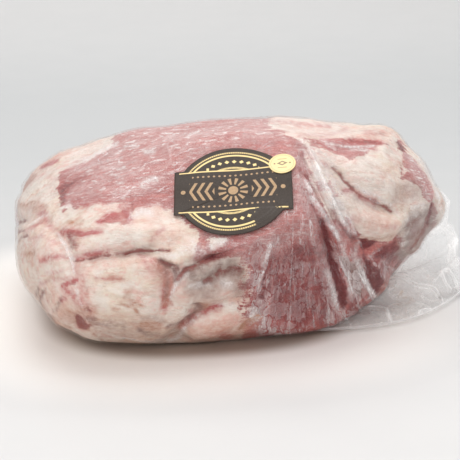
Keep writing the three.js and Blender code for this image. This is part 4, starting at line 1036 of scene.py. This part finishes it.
s, t = (grid.ravel() for grid in np.meshgrid(
    np.linspace(0, 1, TAIL_CELLS[0] + 1), np.linspace(0, 1, TAIL_CELLS[1] + 1), indexing="ij"))
cells = np.arange(len(s)).reshape(TAIL_CELLS[0] + 1, TAIL_CELLS[1] + 1)
tail_quads = np.stack([cells[:-1, :-1], cells[:-1, 1:], cells[1:, 1:], cells[1:, :-1]], -1).reshape(-1, 4)
flat_tail = tail_points(s, t)
crumple_place = flat_tail * (1, 1, 0.4)
crest = folded_cloud(crumple_place, 21, 51)
fine_crest = folded_cloud(crumple_place, 8, 52)
calm = smooth(s, 0, 0.1) * (1 - 0.6 * smooth(t, 0.9, 0.96))
for layer, way in ((1, 1.0), (2, -1.0)):
    shift = CRUMPLE_HEIGHT * crest ** 3 + FINE_CRUMPLE_HEIGHT * fine_crest ** 3 - CRUMPLE_SINK
    if layer == 2:
        shift = LOWER_CRUMPLE_HEIGHT * folded_cloud(crumple_place, 17, 53) ** 3 - CRUMPLE_SINK
    points = flat_tail + normals_of(flat_tail, tail_quads) * (shift * calm)[:, None]
    points[:, 2] = np.maximum(points[:, 2] + way * TAIL_LAYER_GAP / 2, 0.3)
    # White on the crumples' crests and along the sheet's edges: creased film, and a painted highlight.
    ridge = np.maximum(smooth(crest, 0.8, 1), 0.6 * smooth(fine_crest, 0.85, 1))
    seal = smooth(t, 0.9, 0.92) * (1 - smooth(t, 0.975, 0.985))
    border = smooth(t, 0.985, 1) + (1 - smooth(s, 0, 0.02)) + smooth(s, 0.98, 1)
    ridge = np.maximum(ridge, 0.8 * np.clip(border, 0, 1))
    residue = smooth(cloud(flat_tail, 11, 54), 0.55, 0.8) * (1 - smooth(t, 0.55, 0.8)) * smooth(t, 0.3, 0.5)
    spare = make_piece(f"spare_end_{layer}", points, tail_quads.tolist(),
                       {"ridge": ridge, "seal": seal, "residue": residue})
    dressed(spare, "sealed_bag")

# %% [markdown]
# ## The badge and the sticker
# Paper lies on the film and follows its slow curves, but not its small wrinkles. Points in the
# badge's own plane are dropped onto the film, evened out, and lifted by a hair. The place of each
# point in that plane is kept on the mesh, because the print is drawn there by arithmetic.

# %% Paper dropped onto the film
BADGE_RUN = 4.9
BADGE_RADIUS, BANNER_HALF_LENGTH, BANNER_HALF_HEIGHT = 33.9, 35.0, 17.1
STICKER_RADIUS, STICKER_PLACE = 8.1, (29.7, 17.0)
PAPER_LIFT, PAPER_THICKNESS, STICKER_GAP = 0.55, 0.28, 0.25
BADGE_SIDES, BADGE_RINGS, STICKER_SIDES, STICKER_RINGS = 180, 40, 96, 12
EVENED = 12              # rounds of evening out, so that paper doesn't follow small wrinkles
DROP_HEIGHT = 60

run = math.radians(BADGE_RUN)
badge_along = SHOWN[1] * math.cos(run) + SHOWN[2] * math.sin(run)
badge_along -= SHOWN[0] * (badge_along @ BADGE_OUT) / (SHOWN[0] @ BADGE_OUT)
badge_along /= np.linalg.norm(badge_along)
badge_up = np.cross(BADGE_OUT, badge_along)
film_tree = BVHTree.FromPolygons(shaped.tolist(), plain_quads.tolist())


def badge_reach(angle):
    """How far the badge's edge is: its disc, or its banner where that is wider."""
    banner = np.minimum(BANNER_HALF_LENGTH / np.maximum(np.abs(np.cos(angle)), 1e-9),
                        BANNER_HALF_HEIGHT / np.maximum(np.abs(np.sin(angle)), 1e-9))
    return np.maximum(BADGE_RADIUS, banner)


def paper(name, place, angles, reach, rings, lift):
    """A thin paper shape with a rounded rim: rings of points from its middle to its edge."""
    count = len(angles)
    share = np.linspace(0, 1, rings + 1)[1:, None]
    x = place[0] + share * reach * np.cos(angles)
    y = place[1] + share * reach * np.sin(angles)
    flat = np.concatenate([[place], np.stack([x, y], -1).reshape(-1, 2)])
    height = []
    for across, upward in flat:
        start = BADGE_MIDDLE + badge_along * across + badge_up * upward + BADGE_OUT * DROP_HEIGHT
        height.append(DROP_HEIGHT - film_tree.ray_cast(Vector(start), Vector(-BADGE_OUT))[3])
    height = np.array(height)
    grid = height[1:].reshape(rings, count)
    for _ in range(EVENED):
        padded_grid = np.pad(grid, ((1, 1), (0, 0)), "edge")
        padded_grid[0] = np.roll(grid[0], count // 2)
        grid = (2 * grid + padded_grid[2:] + padded_grid[:-2]
                + np.roll(grid, 1, 1) + np.roll(grid, -1, 1)) / 6
    height[1:], height[0] = grid.ravel(), grid[0].mean()
    low = BADGE_MIDDLE + np.outer(flat[:, 0], badge_along) + np.outer(flat[:, 1], badge_up)
    low = low + np.outer(height + lift, BADGE_OUT)
    top = low + BADGE_OUT * PAPER_THICKNESS
    index = 1 + np.arange(rings * count).reshape(rings, count)
    following = np.roll(index, -1, 1)
    inner = np.stack([index[:-1], index[1:], following[1:], following[:-1]], -1).reshape(-1, 4)
    fan = np.stack([np.zeros(count, int), index[0], following[0]], -1)
    size = len(flat)
    rim = np.stack([index[-1], following[-1], following[-1] + size, index[-1] + size], -1)
    faces = ((inner + size).tolist() + (fan + size).tolist() + inner[:, ::-1].tolist()
             + fan[:, ::-1].tolist() + rim.tolist())
    plane = np.column_stack([flat, np.zeros(size)])
    piece = make_piece(name, np.concatenate([low, top]), faces, {"plane": np.concatenate([plane, plane])})
    return piece


corner = math.atan2(BANNER_HALF_HEIGHT, BANNER_HALF_LENGTH)
badge_angles = np.sort(np.concatenate([
    np.linspace(0, 2 * math.pi, BADGE_SIDES, endpoint=False),
    [corner, math.pi - corner, math.pi + corner, 2 * math.pi - corner]]))
badge = paper("badge_paper", (0.0, 0.0), badge_angles, badge_reach(badge_angles), BADGE_RINGS, PAPER_LIFT)
dressed(badge, "badge_label")
sticker_angles = np.linspace(0, 2 * math.pi, STICKER_SIDES, endpoint=False)
sticker = paper("sticker_paper", STICKER_PLACE, sticker_angles, np.full(STICKER_SIDES, STICKER_RADIUS),
                STICKER_RINGS, PAPER_LIFT + PAPER_THICKNESS + STICKER_GAP)
dressed(sticker, "round_sticker")

# %% [markdown]
# ## Shader arithmetic
# A material is a sum of masks and colours. Written as nodes it is hard to read, so one small
# class stands for a wire between nodes: arithmetic on it adds Math nodes, and one method adds any
# other node.

# %% A wire between nodes
class Wire:
    """A value, colour or vector on its way through a material."""

    def __init__(self, tree, socket=None):
        self.tree, self.socket = tree, socket

    def node(self, kind, settings=(), feeds=(), out=0):
        """Adds a node: its settings first, then a value or a wire for each named socket."""
        new = self.tree.nodes.new(kind)
        for name, value in dict(settings).items():
            setattr(new, name, value)
        for name, value in dict(feeds).items():
            if isinstance(value, Wire):
                self.tree.links.new(value.socket, new.inputs[name])
            else:
                new.inputs[name].default_value = value
        return Wire(self.tree, new.outputs[out])

    def math(self, operation, first, second=0.0):
        return self.node("ShaderNodeMath", {"operation": operation}, {0: first, 1: second})

    def __add__(self, other):
        return self.math("ADD", self, other)

    def __sub__(self, other):
        return self.math("SUBTRACT", self, other)

    def __rsub__(self, other):
        return self.math("SUBTRACT", other, self)

    def __mul__(self, other):
        return self.math("MULTIPLY", self, other)

    def __truediv__(self, other):
        return self.math("DIVIDE", self, other)

    __radd__, __rmul__ = __add__, __mul__

    def __abs__(self):
        return self.math("ABSOLUTE", self)

    def rise(self, low, high):
        """A smooth step: 0 below low, 1 above high."""
        return self.node("ShaderNodeMapRange", {"interpolation_type": "SMOOTHSTEP"},
                         {"Value": self, "From Min": low, "From Max": high})

    def fall(self, low, high):
        return 1 - self.rise(low, high)

    def most(self, other):
        return self.math("MAXIMUM", self, other)

    def least(self, other):
        return self.math("MINIMUM", self, other)

    def mask(self, name):
        """A mask kept on the mesh."""
        return self.node("ShaderNodeAttribute", {"attribute_name": name}, out=2)

    def blend(self, colour, other):
        """Goes from one colour to another where this mask is 1."""
        return self.node("ShaderNodeMix", {"data_type": "RGBA"}, {0: self, 6: colour, 7: other}, out=2)


NOISE_RANGE = (0.3, 0.7)


def stretched(wire, size):
    """Places on the piece, counted in blobs of that many millimetres along x, y and z."""
    place = wire.node("ShaderNodeTexCoord", out=3)
    return wire.node("ShaderNodeVectorMath", {"operation": "MULTIPLY"},
                     {0: place, 1: tuple(1000 / side for side in size)})


def speckle(wire, size, detail=3.0, roughness=0.55, bend=0.0):
    """Noise from 0 to 1, its blobs of that size in millimetres, stretched to use the whole range."""
    size = size if isinstance(size, tuple) else (size,) * 3
    return wire.node("ShaderNodeTexNoise", {}, {
        "Vector": stretched(wire, size), "Scale": 1.0, "Detail": detail, "Roughness": roughness,
        "Distortion": bend}).rise(*NOISE_RANGE)


def streaks(wire, places, length, width, detail=3.0, roughness=0.6, bend=0.0):
    """Noise drawn out along the first of the places kept on the mesh, sizes in millimetres."""
    place = wire.node("ShaderNodeAttribute", {"attribute_name": places}, out=1)
    scaled = wire.node("ShaderNodeVectorMath", {"operation": "MULTIPLY"},
                       {0: place, 1: (1 / length, 1 / width, 1 / max(width, 4.0))})
    return wire.node("ShaderNodeTexNoise", {}, {
        "Vector": scaled, "Scale": 1.0, "Detail": detail, "Roughness": roughness,
        "Distortion": bend}).rise(*NOISE_RANGE)


def material(name, *pieces):
    """A new material on these pieces, as a wire to build it with."""
    new = bpy.data.materials.new(name)
    new.use_nodes = True
    new.node_tree.nodes.clear()
    for piece in pieces:
        piece.data.materials.append(new)
    return Wire(new.node_tree)


def show(wire, shader):
    """Ends a material with the shader that is seen."""
    output = wire.tree.nodes.new("ShaderNodeOutputMaterial")
    wire.tree.links.new(shader.socket, output.inputs["Surface"])


# %% [markdown]
# ## The look of meat
# Lean is dull red with pale fibres, fat is cream and slightly pink, old blood in the creases is
# nearly brown, and frost under the film turns all of it milky. Each is a colour, and the masks
# and noise decide where it goes. Some of it is painted light: painted shade in the creases, the
# folds and along the bottom, and painted highlights among the white frost strokes.

# %% Meat material
LEAN_DARK = (0.275, 0.036, 0.036, 1)
LEAN_BRIGHT = (0.62, 0.172, 0.148, 1)
FAT_CREAM = (0.75, 0.663, 0.582, 1)
FAT_PINK = (0.74, 0.38, 0.32, 1)
FAT_WHITE = (0.86, 0.79, 0.725, 1)
FAT_YELLOW = (0.80, 0.61, 0.42, 1)
PINK = (0.70, 0.37, 0.30, 1)
GREY_AND_SHADE = (0.29, 0.195, 0.165, 1)
BROWN_FOLD_SHADE = (0.20, 0.080, 0.062, 1)
TAN_AND_SHADE = (0.47, 0.22, 0.135, 1)
BLOOD = (0.45, 0.080, 0.075, 1)
CREASE_BLOOD_AND_SHADE = (0.165, 0.009, 0.012, 1)
CREASE_SHADE_IN_FAT = (0.27, 0.072, 0.058, 1)
FROST = (0.93, 0.87, 0.85, 1)
PLATE_FROST = (0.68, 0.56, 0.56, 1)
PLATE_SIZE = (4.2, 9.5, 12.0)      # across the fan, along it and into the meat

flesh = material("meat_under_film", meat)
fat, dark, plates, frosty = flesh.mask("fat"), flesh.mask("dark"), flesh.mask("plates"), flesh.mask("frosty")
blotches = speckle(flesh, 8)
fine = speckle(flesh, 1.5, 4.0, 0.7)
grit = speckle(flesh, 0.8, 2.0, 0.6)
medium = speckle(flesh, 3.2, 3.0, 0.55)
soft = speckle(flesh, (18, 10, 10), 4.0, 0.6, 0.8)
fibre = streaks(flesh, "sheet_place", 11, 1.1, 4.0, 0.65)
fibre_wide = streaks(flesh, "sheet_place", 40, 4.5)
fan_fibre = streaks(flesh, "fan_place", 1.4, 14, 4.0, 0.65)
fan_wide = streaks(flesh, "fan_place", 4.5, 45)
along_pack = fibre * 0.24 + fibre_wide * 0.28 + 0.08
along_fan = fan_fibre * 0.4 + fan_wide * 0.3
grain = along_pack + plates * (along_fan - along_pack) + blotches * 0.15 + fine * 0.15

ragged = (blotches - 0.5) * 0.3 + (fine - 0.5) * 0.22 + (medium - 0.5) * 0.2 + (fibre - 0.5) * 0.26
fatness = (fat + ragged).rise(0.28, 0.53)
lean_level = grain + frosty * (0.58 - grain) * 0.68 - plates * 0.13
lean = lean_level.rise(0.1, 0.9).blend(LEAN_DARK, LEAN_BRIGHT)
pinkness = (soft * 0.55 + fibre_wide * 0.2 + medium * 0.3).rise(0.5, 0.95)
fat_colour = (pinkness * 0.65).blend(FAT_CREAM, FAT_PINK)
fat_colour = (speckle(flesh, 26).rise(0.4, 0.9) * 0.35).blend(fat_colour, FAT_YELLOW)
threads_pink = streaks(flesh, "sheet_place", 9, 1.6, 3.0, 0.6, 0.6).rise(0.75, 0.98)
fat_colour = (threads_pink * 0.4).blend(fat_colour, FAT_PINK)
veins = 1 - abs(streaks(flesh, "sheet_place", 12, 6, 3.0, 0.6, 1.0) - 0.5).rise(0.02, 0.26)
fat_colour = (veins * speckle(flesh, 16).rise(0.45, 0.8) * 0.35).blend(fat_colour, TAN_AND_SHADE)
fat_colour = (speckle(flesh, (9, 4, 4), 2.0, 0.5).rise(0.4, 0.9) * 0.5).blend(fat_colour, FAT_WHITE)
wrinkle = 1 - abs(streaks(flesh, "sheet_place", 13, 3.6, 2.0, 0.5, 1.2) - 0.5).rise(0.0, 0.5)
wrinkle = wrinkle * speckle(flesh, 12).rise(0.35, 0.75)
fat_colour = (wrinkle * 0.2).blend(fat_colour, FAT_PINK)
colour = fatness.blend(lean, fat_colour)


def tinted(colour, name, shade, low, high):
    """A shade laid over the colour by its mask, broken up by fine noise and blotches."""
    share = flesh.mask(name) * (low + (fine * 0.35 + medium * 0.65) * (high - low) + (blotches - 0.5) * 0.4)
    return share.most(0.0).least(1.0).blend(colour, shade)


colour = tinted(colour, "pink", PINK, 0.3, 1.0)
colour = tinted(colour, "blood", BLOOD, 0.4, 1.6)
# grey is mostly painted shade: in the folds, at the right end and over the fat triangle under the top light
colour = tinted(colour, "grey", GREY_AND_SHADE, 0.7, 1.25)
# tan patches: the fat's own tone, and painted shade along the bottom and lower rim
colour = tinted(colour, "tan", TAN_AND_SHADE, 0.4, 1.5)
# brown is painted shade in the folds
colour = tinted(colour, "brown", BROWN_FOLD_SHADE, 0.4, 1.3)
# Creases are darkened: blood in the lean, and painted shade in the fat and in both.
mottled = dark * (0.65 + fine * 0.3 + medium * 0.35 + (blotches - 0.5) * 0.4)
colour = mottled.rise(0.22, 0.9).blend(colour, fatness.blend(CREASE_BLOOD_AND_SHADE, CREASE_SHADE_IN_FAT))

# Frost: white flecks along the fibres, soft clouds, and crisp plates between film and meat.
flecks = streaks(flesh, "sheet_place", 6, 1.5, 2.0, 0.5).rise(0.84, 0.93)
threads = streaks(flesh, "sheet_place", 14, 0.9, 3.0, 0.7).rise(0.5, 1.0)
clouds = speckle(flesh, (20, 9, 9), 5.0, 0.65)
rime = speckle(flesh, (5, 3.5, 3.5), 5.0, 0.75).rise(0.3, 0.9)
fan_place = flesh.node("ShaderNodeAttribute", {"attribute_name": "fan_place"}, out=1)
plate_place = flesh.node("ShaderNodeVectorMath", {"operation": "MULTIPLY"}, {
    0: fan_place, 1: tuple(1 / side for side in PLATE_SIZE)})
nudge = flesh.node("ShaderNodeTexNoise", {}, {"Vector": plate_place, "Scale": 1.3, "Detail": 2.0}, out=1)
nudge = flesh.node("ShaderNodeVectorMath", {"operation": "MULTIPLY"}, {0: nudge, 1: (1.5, 1.3, 1.0)})
plate_place = flesh.node("ShaderNodeVectorMath", {"operation": "ADD"}, {0: plate_place, 1: nudge})
plate_cell = flesh.node("ShaderNodeTexVoronoi", {}, {"Vector": plate_place, "Scale": 1.0}, out=1)
plate_level = flesh.node("ShaderNodeSeparateColor", {}, {"Color": plate_cell})
plate_rim = flesh.node("ShaderNodeTexVoronoi", {"feature": "DISTANCE_TO_EDGE"}, {
    "Vector": plate_place, "Scale": 1.0})
plate = (plate_level * 0.9 + fan_wide * 0.25 + blotches * 0.55 - 0.25).rise(0.15, 0.75)
plate = plate * plate_rim.rise(0.01, 0.08) * (0.5 + fine * 0.5 + plate_rim.fall(0.10, 0.2) * 0.35)
lace = streaks(flesh, "fan_place", 1.1, 9, 3.0, 0.6).rise(0.72, 0.9)
plate_share = (plates * (plate * 0.95 + lace * 0.2)).least(0.9) * (1 - dark * 1.1)
plate_share = plate_share.most(0.0)
colour = plate_share.blend(colour, PLATE_FROST)
milky = frosty * (flecks * (0.55 - fatness * 0.35) + clouds * 0.18 + threads * (0.12 - fatness * 0.1)
                  + rime * 0.25 + 0.12)
milky = milky * (1 - flesh.mask("grey") * 0.5)
# the frost strokes hold ice, and painted highlights on ridges
milky = milky.most(flesh.mask("frost_and_highlight") * (0.35 + fine * 0.9))
milky = milky.most(plates * lace * plate * 0.5)
milky = (milky + grit.rise(0.8, 0.97) * (0.25 - fatness * 0.15) + 0.01) * (1 - dark * 1.1).most(0.0)
colour = milky.least(0.95).blend(colour, FROST)

bump = flesh.node("ShaderNodeBump", {}, {
    "Height": (fibre * (0.26 - fatness * 0.22) + fine * (0.26 - fatness * 0.18) + blotches * 0.5
               + medium * 0.2 + milky * 0.35 + plate_share * 0.5 - wrinkle * fatness * 0.25),
    "Strength": 0.75, "Distance": 0.0014})
meat_shader = flesh.node("ShaderNodeBsdfPrincipled", {}, {
    "Base Color": colour, "Roughness": 0.5 + milky * 0.25, "Normal": bump})
show(flesh, meat_shader)
print("meat material:", len(flesh.tree.nodes), "nodes")

# %% [markdown]
# ## The look of film
# Clear film is nearly nothing: you see its gloss, its pleats, which are white because light
# crosses many layers there and carry a painted highlight along their crests, and a thin milkiness
# where frost clings to it. So it is transparent by a Mix Shader, milky by a mask, and glossy by
# how slantwise it is seen.

# %% Film materials
FILM_WHITE = (0.92, 0.91, 0.905, 1)
FILM_IOR = 1.45
GLOSS_SHARE = 0.4      # crumpled film shows this share of a flat sheet's gloss


def film_look(wire, milk, bump_height, gloss_roughness, bump_strength, white_colour=FILM_WHITE):
    """Film: clear where milk is 0, white where it is 1, and glossy where it is seen slantwise."""
    bump = wire.node("ShaderNodeBump", {}, {
        "Height": bump_height, "Strength": bump_strength, "Distance": 0.0006})
    clear = wire.node("ShaderNodeBsdfTransparent")
    white = wire.node("ShaderNodeBsdfPrincipled", {}, {
        "Base Color": white_colour, "Roughness": 0.3, "Normal": bump})
    body = wire.node("ShaderNodeMixShader", {}, {0: milk, 1: clear, 2: white})
    gloss = wire.node("ShaderNodeBsdfAnisotropic", {}, {
        "Color": (1, 1, 1, 1), "Roughness": gloss_roughness, "Normal": bump})
    slant = wire.node("ShaderNodeFresnel", {}, {"IOR": FILM_IOR, "Normal": bump})
    return wire.node("ShaderNodeMixShader", {}, {0: slant * GLOSS_SHARE, 1: body, 2: gloss})


wrap = material("clear_film_look", film)
film_fine = speckle(wrap, 2.0, 4.0)
film_wide = speckle(wrap, (10, 6, 14))
fan_lines = streaks(wrap, "fan_place", 1.5, 28).rise(0.8, 0.98) * wrap.mask("plates")
film_threads = 1 - abs(streaks(wrap, "fan_place", 7, 60, 2.0, 0.5, 0.6) - 0.5).rise(0.0, 0.05)
film_threads = film_threads * speckle(wrap, 14).rise(0.45, 0.8) * (1 - wrap.mask("fat"))
broken_up = speckle(wrap, 3.5, 4.0, 0.65)
# pleat white: folded film, and a painted highlight along the crests
film_milk = wrap.mask("pleat").rise(0.08, 0.8) * (0.15 + broken_up * 0.4 + (film_fine - 0.5) * 0.4)
film_milk = film_milk + wrap.mask("frosty") * film_wide.rise(0.5, 1.0) * 0.06
film_milk = (film_milk + fan_lines * 0.3 + film_threads * 0.4) * (1 - wrap.mask("dark") * 0.8)
film_milk = film_milk.most(0.0).least(0.8)
film_relief = film_wide * 0.3 + film_fine * 0.25 + fan_lines * 0.3 + broken_up * 0.2
show(wrap, film_look(wrap, film_milk, film_relief, 0.17, 0.7))

# %% The spare end's film
RESIDUE = (0.60, 0.36, 0.20, 1)
loose = material("spare_end_look", *[bpy.data.objects[f"spare_end_{layer}"] for layer in (1, 2)])
end_fine = speckle(loose, 5, 4.0)
# the ridge's milk is partly a painted highlight on crests and edges
end_milk = loose.mask("ridge") * 0.48 + loose.mask("seal") * 0.18 + end_fine.rise(0.6, 1.0) * 0.1 + 0.09
end_residue = loose.mask("residue") * speckle(loose, 3, 3.0).rise(0.5, 0.8)
end_colour = end_residue.blend(FILM_WHITE, RESIDUE)
end_milk = (end_milk + end_residue * 0.15).least(0.8)
show(loose, film_look(loose, end_milk, end_fine * 0.5, 0.16, 0.6, end_colour))

# %% [markdown]
# ## The print
# Print has hard edges at any distance, so it is drawn by arithmetic on each point's place in the
# badge's plane: dark brown paper, double gold rings, rules along a banner, hatched arcs, a
# sunburst between chevrons, and rows of lozenges in the ring.

# %% Badge print
PAPER_BROWN = (0.036, 0.026, 0.020, 1)
PAPER_WORN = (0.075, 0.056, 0.045, 1)
GOLD = (0.87, 0.66, 0.30, 1)
PALE_TAN = (0.50, 0.33, 0.19, 1)

card = material("badge_print", badge)
plane = card.node("ShaderNodeAttribute", {"attribute_name": "plane"}, out=1)
plane_x = card.node("ShaderNodeSeparateXYZ", {}, {0: plane}, out=0)
plane_y = card.node("ShaderNodeSeparateXYZ", {}, {0: plane}, out=1)
across, upward = abs(plane_x), abs(plane_y)
radius = card.math("SQRT", plane_x * plane_x + plane_y * plane_y)
angle = card.math("ARCTAN2", plane_y, plane_x)


def line(value, middle, half, edge=0.12):
    """1 on a line of that half width."""
    return abs(value - middle).fall(half - edge, half + edge)


def repeated(value, step):
    """How far a value is from the middle of its own step in an endless row."""
    return card.node("ShaderNodeMath", {"operation": "FLOORED_MODULO"}, {0: value, 1: step}) - step / 2


RULE_PLACE = 15.3
outside_banner = upward.rise(RULE_PLACE, RULE_PLACE + 0.1)
hatch = abs(repeated(angle, math.radians(2.5))).fall(math.radians(0.55), math.radians(0.8))
rings_gold = line(radius, 28.0, 0.62) + line(radius, 30.3, 0.55) * (0.35 + hatch * 0.65)
arcs = line(radius, 17.6, 0.8) * (0.35 + hatch * 0.65)
lozenge_turn = abs(repeated(angle + math.radians(5.5), math.radians(11))) * radius
lozenges = (lozenge_turn + abs(radius - 22.9)).fall(1.35, 1.6) * across.fall(15.5, 16)
rules = line(upward, RULE_PLACE, 0.5) * across.fall(32.0, 32.3)
gold_print = (outside_banner * (rings_gold + arcs + lozenges) + rules).least(1.0)

burst = radius.fall(2.9, 3.1) + line(radius, 6.6, 2.3) * abs(repeated(angle, math.radians(30))).fall(
    math.radians(6), math.radians(7.5))
chevron = abs(repeated(across + upward * 0.55, 4.6)).fall(0.85, 1.05) * upward.fall(6.2, 6.4)
chevron = chevron * line(across, 18.5, 7.4)
dots_x = repeated(plane_x, 3.2)
dots = card.math("SQRT", dots_x * dots_x + (upward - 11.0) * (upward - 11.0)).fall(0.6, 0.8)
dots = dots * across.fall(24.2, 24.4)
ends = card.math("SQRT", (across - 29.6) * (across - 29.6) + plane_y * plane_y).fall(1.3, 1.5)
tan_print = ((burst + chevron + dots + ends) * (1 - outside_banner)).least(1.0)

wear_noise = speckle(card, 1.1, 2.0)
worn_place = card.math("SQRT", (plane_x - 20) * (plane_x - 20) + (plane_y + 21) * (plane_y + 21)).fall(6, 12)
kept = 1 - (worn_place * 0.8 + (wear_noise - 0.5) * 0.6).rise(0.35, 0.5)
kept_tan = 0.8 + wear_noise * 0.2
paper_grain = speckle(card, 0.8, 2.0)
badge_colour = (paper_grain * 0.5).blend(PAPER_BROWN, PAPER_WORN)
badge_colour = (tan_print * kept_tan).blend(badge_colour, PALE_TAN)
badge_colour = (gold_print * kept).blend(badge_colour, GOLD)
badge_bump = card.node("ShaderNodeBump", {}, {
    "Height": paper_grain + gold_print * 0.5, "Strength": 0.2, "Distance": 0.0003})
show(card, card.node("ShaderNodeBsdfPrincipled", {}, {
    "Base Color": badge_colour, "Roughness": 0.55 - gold_print * 0.15, "Specular IOR Level": 0.3,
    "Normal": badge_bump}))
print("badge print:", len(card.tree.nodes), "nodes")

# %% Sticker print
STICKER_CREAM = (0.92, 0.72, 0.36, 1)
STICKER_INK = (0.16, 0.12, 0.08, 1)

disc = material("sticker_print", sticker)
plane = disc.node("ShaderNodeAttribute", {"attribute_name": "plane"}, out=1)
disc_x = disc.node("ShaderNodeSeparateXYZ", {}, {0: plane}, out=0) - STICKER_PLACE[0]
disc_y = disc.node("ShaderNodeSeparateXYZ", {}, {0: plane}, out=1) - STICKER_PLACE[1]
sticker_radius = disc.math("SQRT", disc_x * disc_x + disc_y * disc_y)
ring = line(sticker_radius, 6.9, 0.16, 0.1) * 0.55
from_middle = abs(disc_x) * 0.6 + abs(disc_y)
lozenge = from_middle.fall(1.9, 2.1) * (1 - from_middle.fall(0.8, 1.0))
side_dots = disc.math("SQRT", (abs(disc_x) - 4.6) * (abs(disc_x) - 4.6) + disc_y * disc_y).fall(0.55, 0.7)
short_lines = line(abs(disc_y), 3.6, 0.22, 0.1) * abs(disc_x).fall(2.6, 2.8)
ink = (ring + lozenge + side_dots + short_lines).least(1.0) * 0.85
grain = speckle(disc, 0.9, 2.0)
sticker_colour = ink.blend((grain * 0.4).blend(STICKER_CREAM, (0.84, 0.62, 0.30, 1)), STICKER_INK)
show(disc, disc.node("ShaderNodeBsdfPrincipled", {}, {
    "Base Color": sticker_colour, "Roughness": 0.48,
    "Normal": disc.node("ShaderNodeBump", {}, {"Height": grain, "Strength": 0.15, "Distance": 0.0003})}))

# %% [markdown]
# ## Floor and light
# The picture was taken on a white sweep: a floor that curves up into a wall, so no edge shows.
# A large soft light hangs above, weaker ones fill the front and the sides, and the sky is pale.

# %% The sweep
FLOOR_WHITE = (0.672, 0.667, 0.664, 1)
FLOOR_PAINTED_BOUNCE = (0.97, 0.945, 0.915, 1)
FLOOR_SHADED = (0.40, 0.32, 0.27, 1)
BACKDROP_PAINTED_SHADE = (0.515, 0.525, 0.53, 1)
SWEEP_FRONT, SWEEP_BACK, SWEEP_HALF_WIDTH = -2200.0, 900.0, 2600.0
SWEEP_RADIUS, SWEEP_HEIGHT = 500.0, 2200.0

# The pack's foot in metres, a rounded rectangle. The floor's colour is a painted shadow under it,
# where light hardly comes, and painted light just round it, paler than elsewhere, as the pale film
# throws light back on it.
FOOT_PLACE, FOOT_REACH, FOOT_POWER = (-0.020, 0.010), (0.100, 0.085), 2.6

bend = np.linspace(0, math.pi / 2, 25)
profile = [(SWEEP_FRONT, 0.0)] + [
    (SWEEP_BACK + SWEEP_RADIUS * math.sin(a), SWEEP_RADIUS * (1 - math.cos(a))) for a in bend] + [
    (SWEEP_BACK + SWEEP_RADIUS, SWEEP_HEIGHT)]
sweep_points = np.array([(side * SWEEP_HALF_WIDTH, y, z) for y, z in profile for side in (-1, 1)])
sweep_faces = [(2 * k, 2 * k + 1, 2 * k + 3, 2 * k + 2) for k in range(len(profile) - 1)]
floor = make_piece("pale_sweep", sweep_points, sweep_faces)
sweep = material("pale_floor", floor)
floor_noise = speckle(sweep, 40)
sweep_place = sweep.node("ShaderNodeTexCoord", out=3)
sweep_x = sweep.node("ShaderNodeSeparateXYZ", {}, {0: sweep_place}, out=0)
sweep_y = sweep.node("ShaderNodeSeparateXYZ", {}, {0: sweep_place}, out=1)
# Painted shade on the sweep: greyer from the front to half a metre behind the pack, and paler again further
# back and up the wall.
floor_colour = (sweep_y.rise(-0.25, 0.45) * (1 - sweep_y.rise(0.45, 0.95) * 0.8) + floor_noise * 0.06).blend(
    FLOOR_WHITE, BACKDROP_PAINTED_SHADE)
foot_x, foot_y = (sweep_x - FOOT_PLACE[0]) / FOOT_REACH[0], (sweep_y - FOOT_PLACE[1]) / FOOT_REACH[1]
from_foot = sweep.math("POWER", sweep.math("POWER", abs(foot_x), FOOT_POWER) + sweep.math(
    "POWER", abs(foot_y), FOOT_POWER), 1 / FOOT_POWER)
# painted light round the foot, then a painted shadow under it
floor_colour = from_foot.fall(1.2, 1.9).blend(floor_colour, FLOOR_PAINTED_BOUNCE)
floor_colour = from_foot.fall(0.9, 1.1).blend(floor_colour, FLOOR_SHADED)
show(sweep, sweep.node("ShaderNodeBsdfPrincipled", {}, {
    "Base Color": floor_colour, "Roughness": 0.55}))

# %% Lights
SKY = (0.985, 0.99, 1.0, 1)
SKY_STRENGTH = 0.62
LIGHTS = [   # name, place in metres, width, height, watts, colour
    ("top_light", (0.1, 0.3, 1.4), 1.6, 1.2, 16, (1.0, 0.985, 0.965)),
    ("front_light", (-0.7, -1.6, 0.8), 1.6, 1.2, 12.5, (1.0, 0.975, 0.95)),
    ("left_light", (-1.5, -0.3, 0.7), 0.9, 0.9, 2.2, (1.0, 0.985, 0.965)),
    ("right_light", (1.5, -0.4, 0.7), 0.9, 0.9, 4.0, (1.0, 0.99, 0.98)),
]
LIT_POINT = Vector((0, 0, 0.06))

world = bpy.data.worlds.new("sky")
bpy.context.scene.world = world
world.use_nodes = True
world.node_tree.nodes["Background"].inputs["Color"].default_value = SKY
world.node_tree.nodes["Background"].inputs["Strength"].default_value = SKY_STRENGTH
for name, place, width, height, watts, colour in LIGHTS:
    lamp = bpy.data.lights.new(name, "AREA")
    lamp.shape, lamp.size, lamp.size_y, lamp.energy, lamp.color = "RECTANGLE", width, height, watts, colour
    holder = bpy.data.objects.new(name, lamp)
    holder.location = place
    holder.rotation_euler = (Vector(place) - LIT_POINT).to_track_quat("Z", "Y").to_euler()
    bpy.context.scene.collection.objects.link(holder)
bpy.context.scene.view_settings.view_transform = "Standard"
bpy.context.scene.view_settings.look = "None"
print(len(LIGHTS), "lights")
